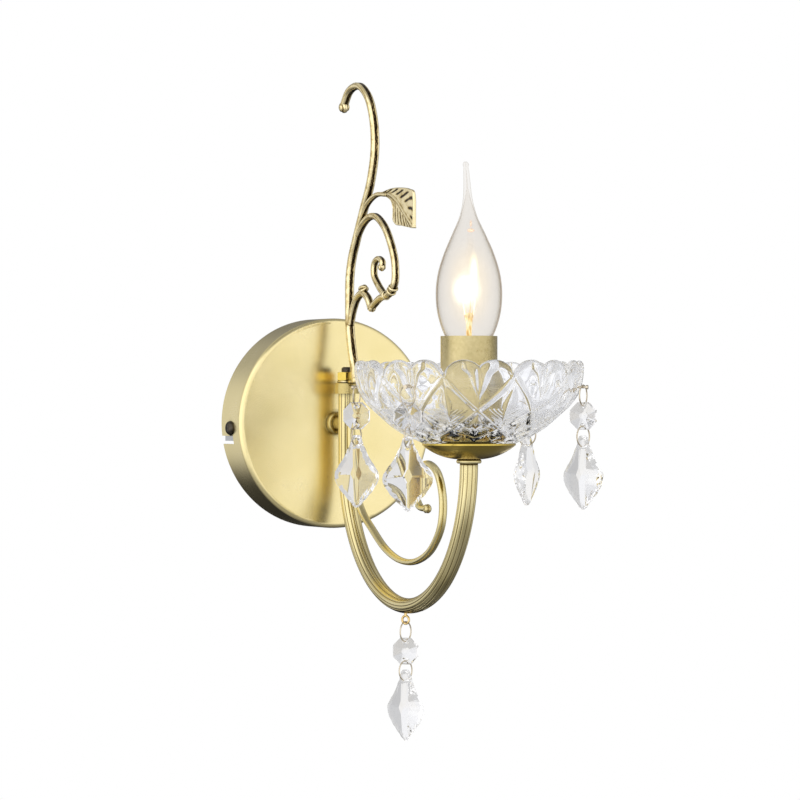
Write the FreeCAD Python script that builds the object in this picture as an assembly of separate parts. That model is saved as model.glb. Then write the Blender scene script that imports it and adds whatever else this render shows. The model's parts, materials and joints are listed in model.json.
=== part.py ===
import FreeCAD, Part
import math
import os

# Crystal wall sconce: a round wall rose carries a reeded U-shaped arm with one candle light in a
# scalloped glass bobeche. A cast scroll with a leaf stands on the arm, a volute rod curls under it,
# and five crystal strings hang from the bobeche's rim and from the arm's lowest point.
# Millimetres. The wall is the plane y = 0, the front is -Y and up is +Z. The origin is on the
# wall plane, on the axis of the round rose. The arm, scroll and volute lie in the plane x = 0.

V = FreeCAD.Vector
X_AXIS, Y_AXIS, Z_AXIS = V(1, 0, 0), V(0, 1, 0), V(0, 0, 1)
ORIGIN = V(0, 0, 0)

# ---- clearances ----
FIT = 0.1                # screws and tubes in their holes, on the radius
LOOSE = 0.3              # pieces that slip over each other by hand, on the radius
HANG_GAP = 0.2           # rings and bead holes, wire to wall

# ---- wall rose and bracket ----
ROSE_DIA = 120.0
ROSE_DEPTH = 26.5
ROSE_SHEET = 1.2
ROSE_ROUND = 3.0
BRACKET_WIDTH = 20.0
BRACKET_SHEET = 1.6
EAR_DEPTH = 19.0
WALL_SLOT_SPACING = 72.0
WALL_SLOT_LENGTH = 12.0
WALL_SLOT_WIDTH = 4.6
SIDE_SCREW_DIA = 4.0
SIDE_SCREW_LENGTH = 11.0
SIDE_SCREW_HEAD_DIA = 8.0
SIDE_SCREW_HEAD_HEIGHT = 2.2
SIDE_SCREW_Y = -13.0
SIDE_SCREW_Z = -2.6
BAYONET_TURN = 6.8       # height from the slot's mouth to the screw
TERMINAL_WIDTH = 20.0
TERMINAL_DEPTH = 11.0
TERMINAL_HEIGHT = 16.0
TERMINAL_X = -17.0
TERMINAL_SCREW_DIA = 3.6
EARTH_SCREW_DIA = 4.0
EARTH_SCREW_HEAD_DIA = 7.6
EARTH_SCREW_X = 15.0

# ---- neck between the rose and the arm ----
NECK_DIA = 8.6
NECK_THREAD_DIA = 7.8
NECK_BORE = 5.2
NECK_BEHIND = 7.0        # threaded length behind the rose's front sheet
NECK_NUT_FLATS = 12.0
NECK_NUT_HEIGHT = 3.0
NECK_WASHER_DIA = 16.0
WASHER_SHEET = 1.0
BOSS_DIA = 13.0
BOSS_HEIGHT = 3.6
BOSS_ROUND = 1.2

# ---- reeded arm ----
LEG_Y = -40.5            # leg axis
ARM_REACH = 152.0        # leg axis to candle axis
ARM_ACROSS = 10.0        # section along X
ARM_IN_PLANE = 8.4       # section in the plane of the bend
ARM_WALL = 1.0
REEDS = 12
REED_DEPTH = 0.55
LEG_BELOW = 20.2         # the straight leg's lower end, below the rose axis
ARM_DROP = 79.2          # depth of the U below the straight leg
LEG_ABOVE = 19.8         # the leg's upper end, above the rose axis
LEAD_DIA = 1.9
LEAD_TURN = 3.0
LEAD_BEHIND = 3.6        # the leads gather this far behind the neck
LEAD_IN_HOLDER = 6.0

# ---- fixing on top of the leg ----
COLLAR_DIA = 14.6
COLLAR_BASE_Z = 16.9
COLLAR_HEIGHT = 6.1
STUD_DIA = 6.0
STUD_TOP_Z = 32.0
TOP_NUT_FLATS = 10.0
TOP_NUT_HEIGHT = 4.8
EYE_DIA = 11.0
EYE_SHEET = 1.3

# ---- cast scroll and leaf ----
STEM_ACROSS = 5.4
STEM_THICK = 4.6
LOOP_ACROSS = 4.8
LOOP_THICK = 4.2
CURL_ACROSS = 4.2
CURL_THICK = 3.6
TWIG_ACROSS = 3.8
TWIG_THICK = 3.2
SCROLL_BALL_DIA = 5.6
CURL_BALL_DIA = 4.8
LEAF_THICK = 2.8

# ---- volute rod ----
ROD_ACROSS = 4.8
ROD_THICK = 3.4
ROD_BALL_DIA = 5.2
FERRULE_DIA = 5.4
FERRULE_HEIGHT = 6.0

# ---- drip pan and glass bobeche ----
NECK_RING_DIA = 13.4
NECK_RING_HEIGHT = 2.2
PAN_DIA = 49.5
PAN_RISE = 8.4
PAN_SHEET = 1.2
GLASS_DIA = 122.0
GLASS_HEIGHT = 43.6
GLASS_BASE_DIA = 49.0
GLASS_WALL = 4.4
GLASS_BASE = 4.6
LOBES = 10
LOBE_AZIMUTH = -22.0     # one lobe's centre, degrees from -Y towards +X
PETAL_RADIUS = 11.2
PETAL_SHIFT = 1.2        # degrees that a lobe's two petals lean towards each other

# ---- candle ----
NIPPLE_DIA = 7.8
NIPPLE_BORE = 5.2
WASHER_DIA = 24.0
LOCK_NUT_FLATS = 12.0
LOCK_NUT_HEIGHT = 3.0
HOLDER_DIA = 24.0
HOLDER_TOP_Z = 30.0
HOLDER_RIM = 4.0
SHELL_DIA = 15.2
SHELL_SHEET = 0.4
SLEEVE_DIA = 30.0
SLEEVE_WALL = 1.2
SLEEVE_TOP_Z = 47.0
BULB_CAP_DIA = 13.8
BULB_CAP_HEIGHT = 21.0
BUTTON_HEIGHT = 1.6
BULB_DIA = 35.0
BULB_TIP_Z = 139.0
BULB_WALL = 0.8
BULB_BEAD_DIA = 4.0
BULB_LEAN = 1.6          # the drawn tip leans this far towards -X

# ---- crystal strings ----
RING_DIA = 11.6
RING_WIRE = 0.75
BEAD_ACROSS = 14.4
BEAD_THICK = 6.4
BEAD_EDGE = 1.6
BEAD_HOLE = 1.9
BEAD_HOLE_INSET = 2.3    # bead's edge to the hole's centre
PENDANT_LENGTH = 38.7
PENDANT_WIDTH = 26.0
PENDANT_THICK = 8.6
PENDANT_EDGE = 1.8
PENDANT_HOLE = 1.9
PENDANT_HOLE_INSET = 6.2
PIN_WIRE = 1.2
PIN_HEAD_DIA = 3.4
PIN_HEAD_GAP = 0.2       # head to the glass's inner side
PIN_KNOB_DIA = 2.2
PIN_REACH = 2.6          # ring's middle to the pin's outer end
PIN_DROP = 14.0          # glass rim's top to the pins' axis
STRING_STANDOFF = 0.3    # strings' middles outside the glass's largest radius
HOLE_MOUTH = 1.7         # width of a bead hole's countersunk mouth, times the hole's own
# Each string's azimuth round the candle, then the way its upper ring, bead, lower ring and
# pendant face, in degrees from -Y towards +X.
RIM_STRINGS = {"front_left": (-58.0, (8.0, -12.0, -24.0, -26.0)),
               "front_right": (50.0, (-50.0, -48.0, -66.0, -68.0)),
               "back_right": (122.0, (32.0, 22.0, 34.0, 32.0)),
               "back_left": (-130.0, (-45.0, -44.0, -52.0, -53.0))}
LOW_STRING_FACES = (-59.0, -46.0, -66.0, -68.0)
LOW_EYE_DIA = 5.6
LOW_EYE_WIRE = 1.3
LOW_EYE_NECK = 0.7

# ---- worked-out places ----
CANDLE_Y = LEG_Y - ARM_REACH
ROSE_FRONT_Y = -ROSE_DEPTH
ROSE_INNER = ROSE_DIA / 2 - ROSE_SHEET
EAR_X = math.sqrt(ROSE_INNER ** 2 - (BRACKET_WIDTH / 2) ** 2) - LOOSE
BOSS_FRONT_Y = ROSE_FRONT_Y - BOSS_HEIGHT
ARM_END_Z = -LEG_BELOW
ARM_BOTTOM_Z = -LEG_BELOW - ARM_DROP - ARM_IN_PLANE / 2
PAN_BASE_Z = ARM_END_Z + NECK_RING_HEIGHT
GLASS_BASE_Z = PAN_BASE_Z + PAN_RISE
GLASS_FLOOR_Z = GLASS_BASE_Z + GLASS_BASE
RIM_PIN_Z = GLASS_BASE_Z + GLASS_HEIGHT - PIN_DROP
STRING_RADIUS = GLASS_DIA / 2 + STRING_STANDOFF    # candle axis to the rim strings
LOCK_NUT_Z = GLASS_FLOOR_Z + WASHER_SHEET
HOLDER_BASE_Z = LOCK_NUT_Z + LOCK_NUT_HEIGHT
BULB_CAP_TOP_Z = HOLDER_TOP_Z + 2.0
BULB_CAP_BASE_Z = BULB_CAP_TOP_Z - BULB_CAP_HEIGHT
CANDLE = V(0, CANDLE_Y, 0)


def in_plane(y, z):
    """A point of the arm's plane."""
    return V(0, y, z)


def facing(azimuth):
    """Horizontal unit vector at an azimuth, in degrees from -Y towards +X."""
    turn = math.radians(azimuth)
    return V(math.sin(turn), -math.cos(turn), 0)


def closed_wire(points, place):
    """Closed wire of 2-D steps: a pair is a corner, four numbers are an arc's middle and end."""
    here, edges = place(*points[0]), []
    for step in list(points[1:]) + [points[0]]:
        end = place(*step[-2:])
        if len(step) == 4:
            edges.append(Part.Arc(here, place(*step[:2]), end).toShape())
        elif (end - here).Length > 1e-6:
            edges.append(Part.LineSegment(here, end).toShape())
        here = end
    return Part.Wire(edges)


def lathe(points, centre=ORIGIN, axis=Z_AXIS):
    """Solid turned about an axis through centre from (radius, distance along the axis) steps."""
    radial = X_AXIS if abs(axis.z) > 0.5 else Z_AXIS
    profile = closed_wire(points, lambda r, h: centre + radial * r + axis * h)
    return Part.Face(profile).revolve(centre, axis, 360)


def slab(points, place, along):
    """Outline pushed along a vector."""
    return Part.Face(closed_wire(points, place)).extrude(along)


def bar(dia, start, axis, length):
    return Part.makeCylinder(dia / 2, length, start, axis)


def tube(outer, bore, start, axis, length):
    return bar(outer, start, axis, length).cut(bar(bore, start, axis, length))


def block(x0, x1, y0, y1, z0, z1):
    return Part.makeBox(x1 - x0, y1 - y0, z1 - z0, V(x0, y0, z0))


def hex_nut(flats, bore, start, axis, height):
    """Hexagon nut with its corners turned down a little at both ends."""
    corner = flats / math.sqrt(3)
    side = X_AXIS
    other = axis.cross(side)
    ring = [(corner * math.cos(math.radians(60 * k)), corner * math.sin(math.radians(60 * k)))
            for k in range(6)]
    body = slab(ring, lambda a, b: start + side * a + other * b, axis * height)
    ease = corner - flats / 2
    rounded = lathe([(0, 0), (flats / 2, 0), (corner, ease / 2), (corner, height - ease / 2),
                     (flats / 2, height), (0, height)], start, axis)
    return body.common(rounded).cut(bar(bore, start, axis, height))


def pan_screw(dia, head_dia, head_height, seat, axis, length, slot=0.8):
    """Screw whose head's underside is at seat; axis points from the tip to the head."""
    crown = head_height * 0.8
    head = lathe([(0, 0), (head_dia / 2, 0), (head_dia / 2, head_height - crown),
                  (head_dia * 0.4, head_height * 0.8, 0, head_height)], seat, axis)
    shank = bar(dia, seat - axis * length, axis, length)
    across = Z_AXIS if abs(axis.z) < 0.5 else X_AXIS
    other = axis.cross(across)
    cut = slab([(-head_dia, -slot / 2), (head_dia, -slot / 2), (head_dia, slot / 2),
                (-head_dia, slot / 2)],
               lambda a, b: seat + axis * (head_height - slot) + across * a + other * b,
               axis * (2 * slot))
    return head.fuse(shank).cut(cut)


def arc_edge(start, start_dir, end):
    """Circular edge that leaves start along start_dir and reaches end."""
    chord = end - start
    cosine = max(-1.0, min(1.0, start_dir.dot(chord) / chord.Length))
    half = math.acos(cosine)
    if half < 1e-4:
        return Part.LineSegment(start, end).toShape()
    side = start_dir - chord * (start_dir.dot(chord) / chord.Length ** 2)
    side.normalize()
    middle = start + chord * 0.5 + side * (chord.Length / 2 * math.tan(half / 2))
    return Part.Arc(start, middle, end).toShape()


def smooth_path(points):
    """Wire of tangent arcs through 3-D points, two arcs from each point to the next."""
    def circle_dir(a, b, c, at):
        ab, bc = b - a, c - b
        start, end = ab / ab.Length ** 2, bc / bc.Length ** 2
        middle = start + end
        middle.normalize()
        if at == 1:
            return middle
        chord = V(ab if at == 0 else bc)
        chord.normalize()
        return chord * (2 * chord.dot(middle)) - middle

    last = len(points) - 1
    dirs = [circle_dir(*points[:3], 0)]
    dirs += [circle_dir(*points[k - 1:k + 2], 1) for k in range(1, last)]
    dirs.append(circle_dir(*points[-3:], 2))
    edges = []
    for k in range(last):
        a, b, da, db = points[k], points[k + 1], dirs[k], dirs[k + 1]
        span, both = b - a, da + db
        turn = 2 * (1 - da.dot(db))
        along = span.dot(both)
        if turn < 1e-6:
            reach = span.dot(span) / (2 * along)
        else:
            reach = (-along + math.sqrt(along ** 2 + turn * span.dot(span))) / turn
        joint = (a + da * reach + b - db * reach) * 0.5
        first = arc_edge(a, da, joint)
        arrive = da - (joint - a) * (2 * da.dot(joint - a) / (joint - a).Length ** 2)
        edges += [first, arc_edge(joint, arrive * -1, b)]
    return edges, dirs


def rod(points, across, thick):
    """Oval rod in the arm's plane through (y, z) points; across is its size along X."""
    path = [in_plane(*p) for p in points]
    edges, dirs = smooth_path(path)
    side = X_AXIS.cross(dirs[0])
    oval = Part.Ellipse(path[0] + X_AXIS * (across / 2), path[0] + side * (thick / 2), path[0])
    return Part.Wire(edges).makePipeShell([Part.Wire([oval.toShape()])], True, False)


def ball(dia, centre):
    return Part.makeSphere(dia / 2, centre)


# ---- wall side ----
def half_turn(shape):
    """The same shape on the other side of the rose's axis."""
    other = shape.copy()
    other.rotate(ORIGIN, Y_AXIS, 180)
    return other


def rose_shell():
    inner_round = ROSE_ROUND - ROSE_SHEET
    lean = 1 - math.sqrt(0.5)
    outer, back_y = ROSE_DIA / 2, ROSE_FRONT_Y + ROSE_SHEET
    shell = lathe([(outer, 0), (outer, ROSE_FRONT_Y + ROSE_ROUND),
                   (outer - ROSE_ROUND * lean, ROSE_FRONT_Y + ROSE_ROUND * lean,
                    outer - ROSE_ROUND, ROSE_FRONT_Y),
                   (NECK_THREAD_DIA / 2 + FIT, ROSE_FRONT_Y), (NECK_THREAD_DIA / 2 + FIT, back_y),
                   (ROSE_INNER - inner_round, back_y),
                   (ROSE_INNER - inner_round * lean, back_y + inner_round * lean,
                    ROSE_INNER, back_y + inner_round), (ROSE_INNER, 0)], axis=Y_AXIS)
    half = SIDE_SCREW_DIA / 2 + LOOSE
    left = -outer - 1
    mouth_z = SIDE_SCREW_Z - BAYONET_TURN
    slot = block(left, left + 6, SIDE_SCREW_Y - half, 1, mouth_z - half, mouth_z + half)
    slot = slot.fuse(block(left, left + 6, SIDE_SCREW_Y - half, SIDE_SCREW_Y + half,
                           mouth_z, SIDE_SCREW_Z))
    slot = slot.fuse(bar(2 * half, V(left, SIDE_SCREW_Y, SIDE_SCREW_Z), X_AXIS, 6))
    return shell.cut(slot).cut(half_turn(slot))


def wall_bracket():
    half = BRACKET_WIDTH / 2
    strap = block(-EAR_X, EAR_X, -BRACKET_SHEET, 0, -half, half)
    ear = block(-EAR_X, -EAR_X + BRACKET_SHEET, -EAR_DEPTH, -BRACKET_SHEET, -half, half)
    hole = bar(SIDE_SCREW_DIA + 2 * FIT, V(-EAR_X - 1, SIDE_SCREW_Y, SIDE_SCREW_Z), X_AXIS, 4)
    ear = ear.cut(hole)
    plate = strap.fuse([ear, half_turn(ear)])
    reach = WALL_SLOT_LENGTH / 2 - WALL_SLOT_WIDTH / 2
    wide = WALL_SLOT_WIDTH / 2
    for x in (-WALL_SLOT_SPACING / 2, WALL_SLOT_SPACING / 2):
        outline = [(x - reach, -wide), (x + reach, -wide), (x + reach + wide, 0, x + reach, wide),
                   (x - reach, wide), (x - reach - wide, 0, x - reach, -wide)]
        plate = plate.cut(slab(outline, lambda a, b: V(a, 1, b), V(0, -BRACKET_SHEET - 2, 0)))
    earth = bar(EARTH_SCREW_DIA + 2 * FIT, V(EARTH_SCREW_X, 1, 0), V(0, -1, 0), BRACKET_SHEET + 2)
    return plate.cut(earth).removeSplitter()


def side_screws():
    seat = V(-ROSE_DIA / 2 - FIT / 2, SIDE_SCREW_Y, SIDE_SCREW_Z)
    left = pan_screw(SIDE_SCREW_DIA, SIDE_SCREW_HEAD_DIA, SIDE_SCREW_HEAD_HEIGHT, seat,
                     V(-1, 0, 0), SIDE_SCREW_LENGTH)
    return Part.makeCompound([left, half_turn(left)])


def terminal_parts():
    back, front = -BRACKET_SHEET, -BRACKET_SHEET - TERMINAL_DEPTH
    x0, high = TERMINAL_X - TERMINAL_WIDTH / 2, TERMINAL_HEIGHT / 2
    body = block(x0, x0 + TERMINAL_WIDTH, front, back, -high, high)
    body = body.makeFillet(1.0, [e for e in body.Edges if abs(e.CenterOfMass.y - front) < 0.01])
    screws = []
    well = TERMINAL_SCREW_DIA + 2 * LOOSE
    for z in (-high / 2, high / 2):
        body = body.cut(bar(3.4, V(x0 - 1, back - TERMINAL_DEPTH * 0.55, z), X_AXIS, TERMINAL_WIDTH + 2))
        for x in (TERMINAL_X - TERMINAL_WIDTH / 4, TERMINAL_X + TERMINAL_WIDTH / 4):
            body = body.cut(bar(well, V(x, front - 1, z), Y_AXIS, 4.5))
            screws.append(pan_screw(2.6, TERMINAL_SCREW_DIA, 1.6, V(x, front + 2.4, z), V(0, -1, 0), 1.1))
    return body, Part.makeCompound(screws)


def earth_screw():
    seat_y = -BRACKET_SHEET - WASHER_SHEET
    screw = pan_screw(EARTH_SCREW_DIA, EARTH_SCREW_HEAD_DIA, 2.4, V(EARTH_SCREW_X, seat_y, 0),
                      V(0, -1, 0), -seat_y - FIT)
    washer = tube(EARTH_SCREW_HEAD_DIA + 2, EARTH_SCREW_DIA + 2 * FIT,
                  V(EARTH_SCREW_X, -BRACKET_SHEET, 0), V(0, -1, 0), WASHER_SHEET)
    return screw, washer


# ---- neck ----
def boss_ring():
    bore = NECK_THREAD_DIA / 2 + FIT
    edge = BOSS_ROUND * (1 - math.sqrt(0.5))
    outer = BOSS_DIA / 2
    return lathe([(bore, ROSE_FRONT_Y), (outer, ROSE_FRONT_Y), (outer, BOSS_FRONT_Y + BOSS_ROUND),
                  (outer - edge, BOSS_FRONT_Y + edge, outer - BOSS_ROUND, BOSS_FRONT_Y),
                  (bore, BOSS_FRONT_Y)], axis=Y_AXIS)


def neck_tube(arm_outside):
    rear = ROSE_FRONT_Y + ROSE_SHEET + NECK_BEHIND
    wide, thread, bore = NECK_DIA / 2, NECK_THREAD_DIA / 2, NECK_BORE / 2
    body = lathe([(bore, rear), (thread, rear), (thread, BOSS_FRONT_Y), (wide, BOSS_FRONT_Y),
                  (wide, LEG_Y), (bore, LEG_Y)], axis=Y_AXIS)
    saddle = body.cut(arm_outside)
    return max(saddle.Solids, key=lambda piece: piece.Volume)


def neck_washer():
    return tube(NECK_WASHER_DIA, NECK_THREAD_DIA + 2 * FIT, V(0, ROSE_FRONT_Y + ROSE_SHEET, 0),
                Y_AXIS, WASHER_SHEET)


def neck_nut():
    return hex_nut(NECK_NUT_FLATS, NECK_THREAD_DIA + 2 * FIT,
                   V(0, ROSE_FRONT_Y + ROSE_SHEET + WASHER_SHEET, 0), Y_AXIS, NECK_NUT_HEIGHT)


# ---- reeded arm ----
def bend_edges(x):
    """The arm's centreline at x: straight leg, then a U of four tangent arcs, tighter below."""
    half, lean = ARM_REACH / 2, math.sqrt(0.5)
    side = (lean * ARM_DROP - (1 - lean) * half) / (2 * lean - 1)
    low = (lean * half - (1 - lean) * ARM_DROP) / (2 * lean - 1)

    def arc(cy, cz, radius, start, end):
        spots = [math.radians(a) for a in (start, (start + end) / 2, end)]
        return Part.Arc(*[V(x, cy + radius * math.cos(a), cz + radius * math.sin(a))
                          for a in spots]).toShape()

    top = Part.LineSegment(V(x, LEG_Y, LEG_ABOVE), V(x, LEG_Y, ARM_END_Z)).toShape()
    return [top, arc(LEG_Y - side, ARM_END_Z, side, 0, -45),
            arc(LEG_Y - half, ARM_END_Z - ARM_DROP + low, low, -45, -135),
            arc(CANDLE_Y + side, ARM_END_Z, side, -135, -180)]


def arm_tube():
    """Reeded tube and the solid inside its outer skin."""
    top = V(0, LEG_Y, LEG_ABOVE)

    def spot(step, inset):
        turn = math.pi * step / REEDS
        return top + V((ARM_ACROSS / 2 - inset) * math.cos(turn),
                       (ARM_IN_PLANE / 2 - inset) * math.sin(turn), 0)

    reeds = [Part.Arc(spot(2 * k, REED_DEPTH), spot(2 * k + 1, 0), spot(2 * k + 2, REED_DEPTH)).toShape()
             for k in range(REEDS)]
    path = Part.Wire(bend_edges(0))
    skin = path.makePipeShell([Part.Wire(reeds)], True, False)
    bore = Part.Ellipse(spot(0, REED_DEPTH + ARM_WALL), spot(REEDS // 2, REED_DEPTH + ARM_WALL), top)
    inside = path.makePipeShell([Part.Wire([bore.toShape()])], True, False)
    wire_hole = bar(NECK_BORE, V(0, LEG_Y, 0), Y_AXIS, ARM_IN_PLANE)
    return skin.cut(inside).cut(wire_hole), skin


def bent_path(corners, radii):
    """Edges of straight runs joined by tangent arcs, one radius for each inner corner."""
    here, edges = corners[0], []
    for before, at, after, radius in zip(corners, corners[1:], corners[2:], radii):
        come, leave = at - before, after - at
        come.normalize()
        leave.normalize()
        reach = radius * math.tan(math.acos(come.dot(leave)) / 2)
        edges.append(Part.LineSegment(here, at - come * reach).toShape())
        here = at + leave * reach
        edges.append(arc_edge(at - come * reach, come, here))
    edges.append(Part.LineSegment(here, corners[-1]).toShape())
    return edges


def arm_leads():
    """Two insulated wires from the terminal block through the neck and arm to the lampholder."""
    wires = []
    for side in (-1, 1):
        x, z = side * (LEAD_DIA / 2 + FIT), side * TERMINAL_HEIGHT / 4
        y = -BRACKET_SHEET - TERMINAL_DEPTH * 0.55
        start = V(TERMINAL_X + TERMINAL_WIDTH / 2, y, z)
        ahead = V(x, ROSE_FRONT_Y + ROSE_SHEET + NECK_BEHIND + LEAD_BEHIND, 0)
        corners = [start, V(x, y, z), ahead, V(x, LEG_Y, 0), V(x, LEG_Y, ARM_END_Z)]
        path = bent_path(corners, (LEAD_TURN, LEAD_TURN, LEAD_TURN)) + bend_edges(x)[1:]
        top = V(x, CANDLE_Y, HOLDER_BASE_Z + LEAD_IN_HOLDER)
        path.append(Part.LineSegment(V(x, CANDLE_Y, ARM_END_Z), top).toShape())
        section = Part.Wire([Part.Circle(start, X_AXIS, LEAD_DIA / 2).toShape()])
        wires.append(Part.Wire(path).makePipeShell([section], True, False))
    return Part.makeCompound(wires)


# ---- on top of the leg ----
def top_collar():
    outer, top = COLLAR_DIA / 2, COLLAR_BASE_Z + COLLAR_HEIGHT
    bore, stud = ARM_ACROSS / 2 + FIT, STUD_DIA / 2 + FIT
    return lathe([(bore, COLLAR_BASE_Z), (outer, COLLAR_BASE_Z), (outer, COLLAR_BASE_Z + 0.5),
                  (outer - 0.1, COLLAR_BASE_Z + COLLAR_HEIGHT * 0.6, outer - 0.5, top - 0.3),
                  (outer - 0.8, top), (stud, top), (stud, LEG_ABOVE + FIT), (bore, LEG_ABOVE + FIT)],
                 in_plane(LEG_Y, 0))


def top_stud():
    base, radius = LEG_ABOVE + FIT, STUD_DIA / 2
    return lathe([(0, base), (radius, base), (radius, STUD_TOP_Z - 0.8), (radius - 0.8, STUD_TOP_Z),
                  (0, STUD_TOP_Z)], in_plane(LEG_Y, 0))


def top_nut():
    seat = COLLAR_BASE_Z + COLLAR_HEIGHT + EYE_SHEET
    return hex_nut(TOP_NUT_FLATS, STUD_DIA + 2 * FIT, V(0, LEG_Y, seat), Z_AXIS, TOP_NUT_HEIGHT)


# ---- cast scroll ----
STEM = [(-53, 25.5), (-51.6, 30), (-47.6, 41.5), (-45, 53), (-44.3, 68), (-45, 84), (-48, 94),
        (-53, 103), (-63, 120), (-72.5, 136), (-77.7, 156), (-75.8, 170), (-69, 183),
        (-57, 190.3), (-43.5, 188), (-36.5, 180.5)]
LOOP = [(-55.5, 106.5), (-62, 112), (-69, 115.3), (-77, 116), (-88, 111), (-98, 100),
        (-103.6, 87), (-103, 78), (-97, 72.5), (-84, 69.8), (-73.5, 65)]
LOW_BRANCH = [(-45.5, 56), (-49, 64), (-55, 71), (-61.5, 73.5), (-68.5, 70.5), (-73, 64.5)]
CURL = [(-90.5, 71.5), (-82.5, 77), (-76.5, 84), (-77.7, 90), (-83, 92), (-87.5, 89.5),
        (-86.5, 86.8)]
LEAF_STEM = [(-59.5, 115), (-68, 123.2), (-79, 127.5), (-94, 127)]
LEAF = [(-90, 129.4), (-108, 131.2, -126.5, 126.6), (-127.8, 117, -127, 106.8),
        (-113, 108.5, -101, 111.6), (-99.6, 117, -96, 122.6), (-93.6, 124.8, -90, 126.2)]


def scroll_casting():
    eye_z = COLLAR_BASE_Z + COLLAR_HEIGHT
    stud = in_plane(LEG_Y, eye_z)
    eye = bar(EYE_DIA, stud, Z_AXIS, EYE_SHEET)
    foot_y = STEM[0][0]
    tab = block(-STEM_ACROSS / 2, STEM_ACROSS / 2, foot_y, LEG_Y, eye_z, eye_z + EYE_SHEET)
    foot = bar(STEM_ACROSS, in_plane(foot_y, eye_z), Z_AXIS, STEM[0][1] - eye_z + STEM_THICK / 4)
    eye = eye.fuse([tab, foot]).cut(bar(STUD_DIA + 2 * FIT, stud, Z_AXIS, EYE_SHEET))
    limbs = [rod(STEM, STEM_ACROSS, STEM_THICK), rod(LOOP, LOOP_ACROSS, LOOP_THICK),
             rod(LOW_BRANCH, LOOP_ACROSS, LOOP_THICK), rod(CURL, CURL_ACROSS, CURL_THICK),
             rod(LEAF_STEM, TWIG_ACROSS, TWIG_THICK)]
    balls = [ball(SCROLL_BALL_DIA, in_plane(*STEM[-1])), ball(CURL_BALL_DIA, in_plane(*CURL[-1])),
             ball(SCROLL_BALL_DIA, in_plane(*LOOP[-1]))]
    leaf = slab(LEAF, lambda a, b: V(-LEAF_THICK / 2, a, b), X_AXIS * LEAF_THICK)
    return eye.fuse(limbs + balls + [leaf])


# ---- volute rod ----
VOLUTE = [(-46.9, 9), (-46.4, -4), (-47.5, -22), (-52, -38), (-61, -49.5), (-75, -59.5),
          (-92, -69.5), (-112, -75), (-132, -74), (-150, -66), (-160.5, -53), (-161.8, -39),
          (-155, -25.5), (-143, -21), (-131, -26.5), (-128.5, -37), (-134, -44.5), (-143, -45.5)]


def volute_rod():
    limb = rod(VOLUTE, ROD_ACROSS, ROD_THICK)
    top = in_plane(*VOLUTE[0])
    ferrule = lathe([(0, 1.2), (FERRULE_DIA / 2 - 0.5, 1.2), (FERRULE_DIA / 2, 0.7),
                     (FERRULE_DIA / 2, 0.7 - FERRULE_HEIGHT), (0, 0.7 - FERRULE_HEIGHT)], top)
    return limb.fuse([ferrule, ball(ROD_BALL_DIA, in_plane(*VOLUTE[-1]))])


# ---- drip pan and glass ----
def neck_ring():
    outer, bore = NECK_RING_DIA / 2, NIPPLE_DIA / 2 + FIT
    top = ARM_END_Z + NECK_RING_HEIGHT
    return lathe([(bore, ARM_END_Z), (outer - 0.7, ARM_END_Z),
                  (outer, ARM_END_Z + NECK_RING_HEIGHT / 2, outer - 0.7, top), (bore, top)], CANDLE)


def drip_pan():
    """Spun dish; the glass rests on its rim and the nipple passes through its hub."""
    base, top, outer = PAN_BASE_Z, GLASS_BASE_Z, PAN_DIA / 2
    hub, bore = NECK_RING_DIA / 2 - 0.4, NIPPLE_DIA / 2 + FIT
    sag = PAN_RISE * 0.3
    middle = (hub + outer) / 2
    return lathe([(bore, base), (hub, base), (middle + 1.2, base + sag, outer, top - 0.9),
                  (outer, top), (outer - PAN_SHEET, top), (outer - PAN_SHEET, top - 0.6),
                  (middle + 0.9, base + sag + PAN_SHEET, hub, base + PAN_SHEET),
                  (bore, base + PAN_SHEET)], CANDLE)


def glass_profile():
    """Outer side of the bobeche as (radius, height) steps from its base to its rim."""
    rim, base = GLASS_DIA / 2, GLASS_BASE_DIA / 2
    return [(base, GLASS_BASE_Z), (rim * 0.66, GLASS_BASE_Z + GLASS_HEIGHT * 0.2,
                                   rim * 0.875, GLASS_BASE_Z + GLASS_HEIGHT * 0.445),
            (rim * 0.955, GLASS_BASE_Z + GLASS_HEIGHT * 0.62, rim * 0.975, GLASS_BASE_Z + GLASS_HEIGHT * 0.8),
            (rim, GLASS_BASE_Z + GLASS_HEIGHT)]


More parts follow.
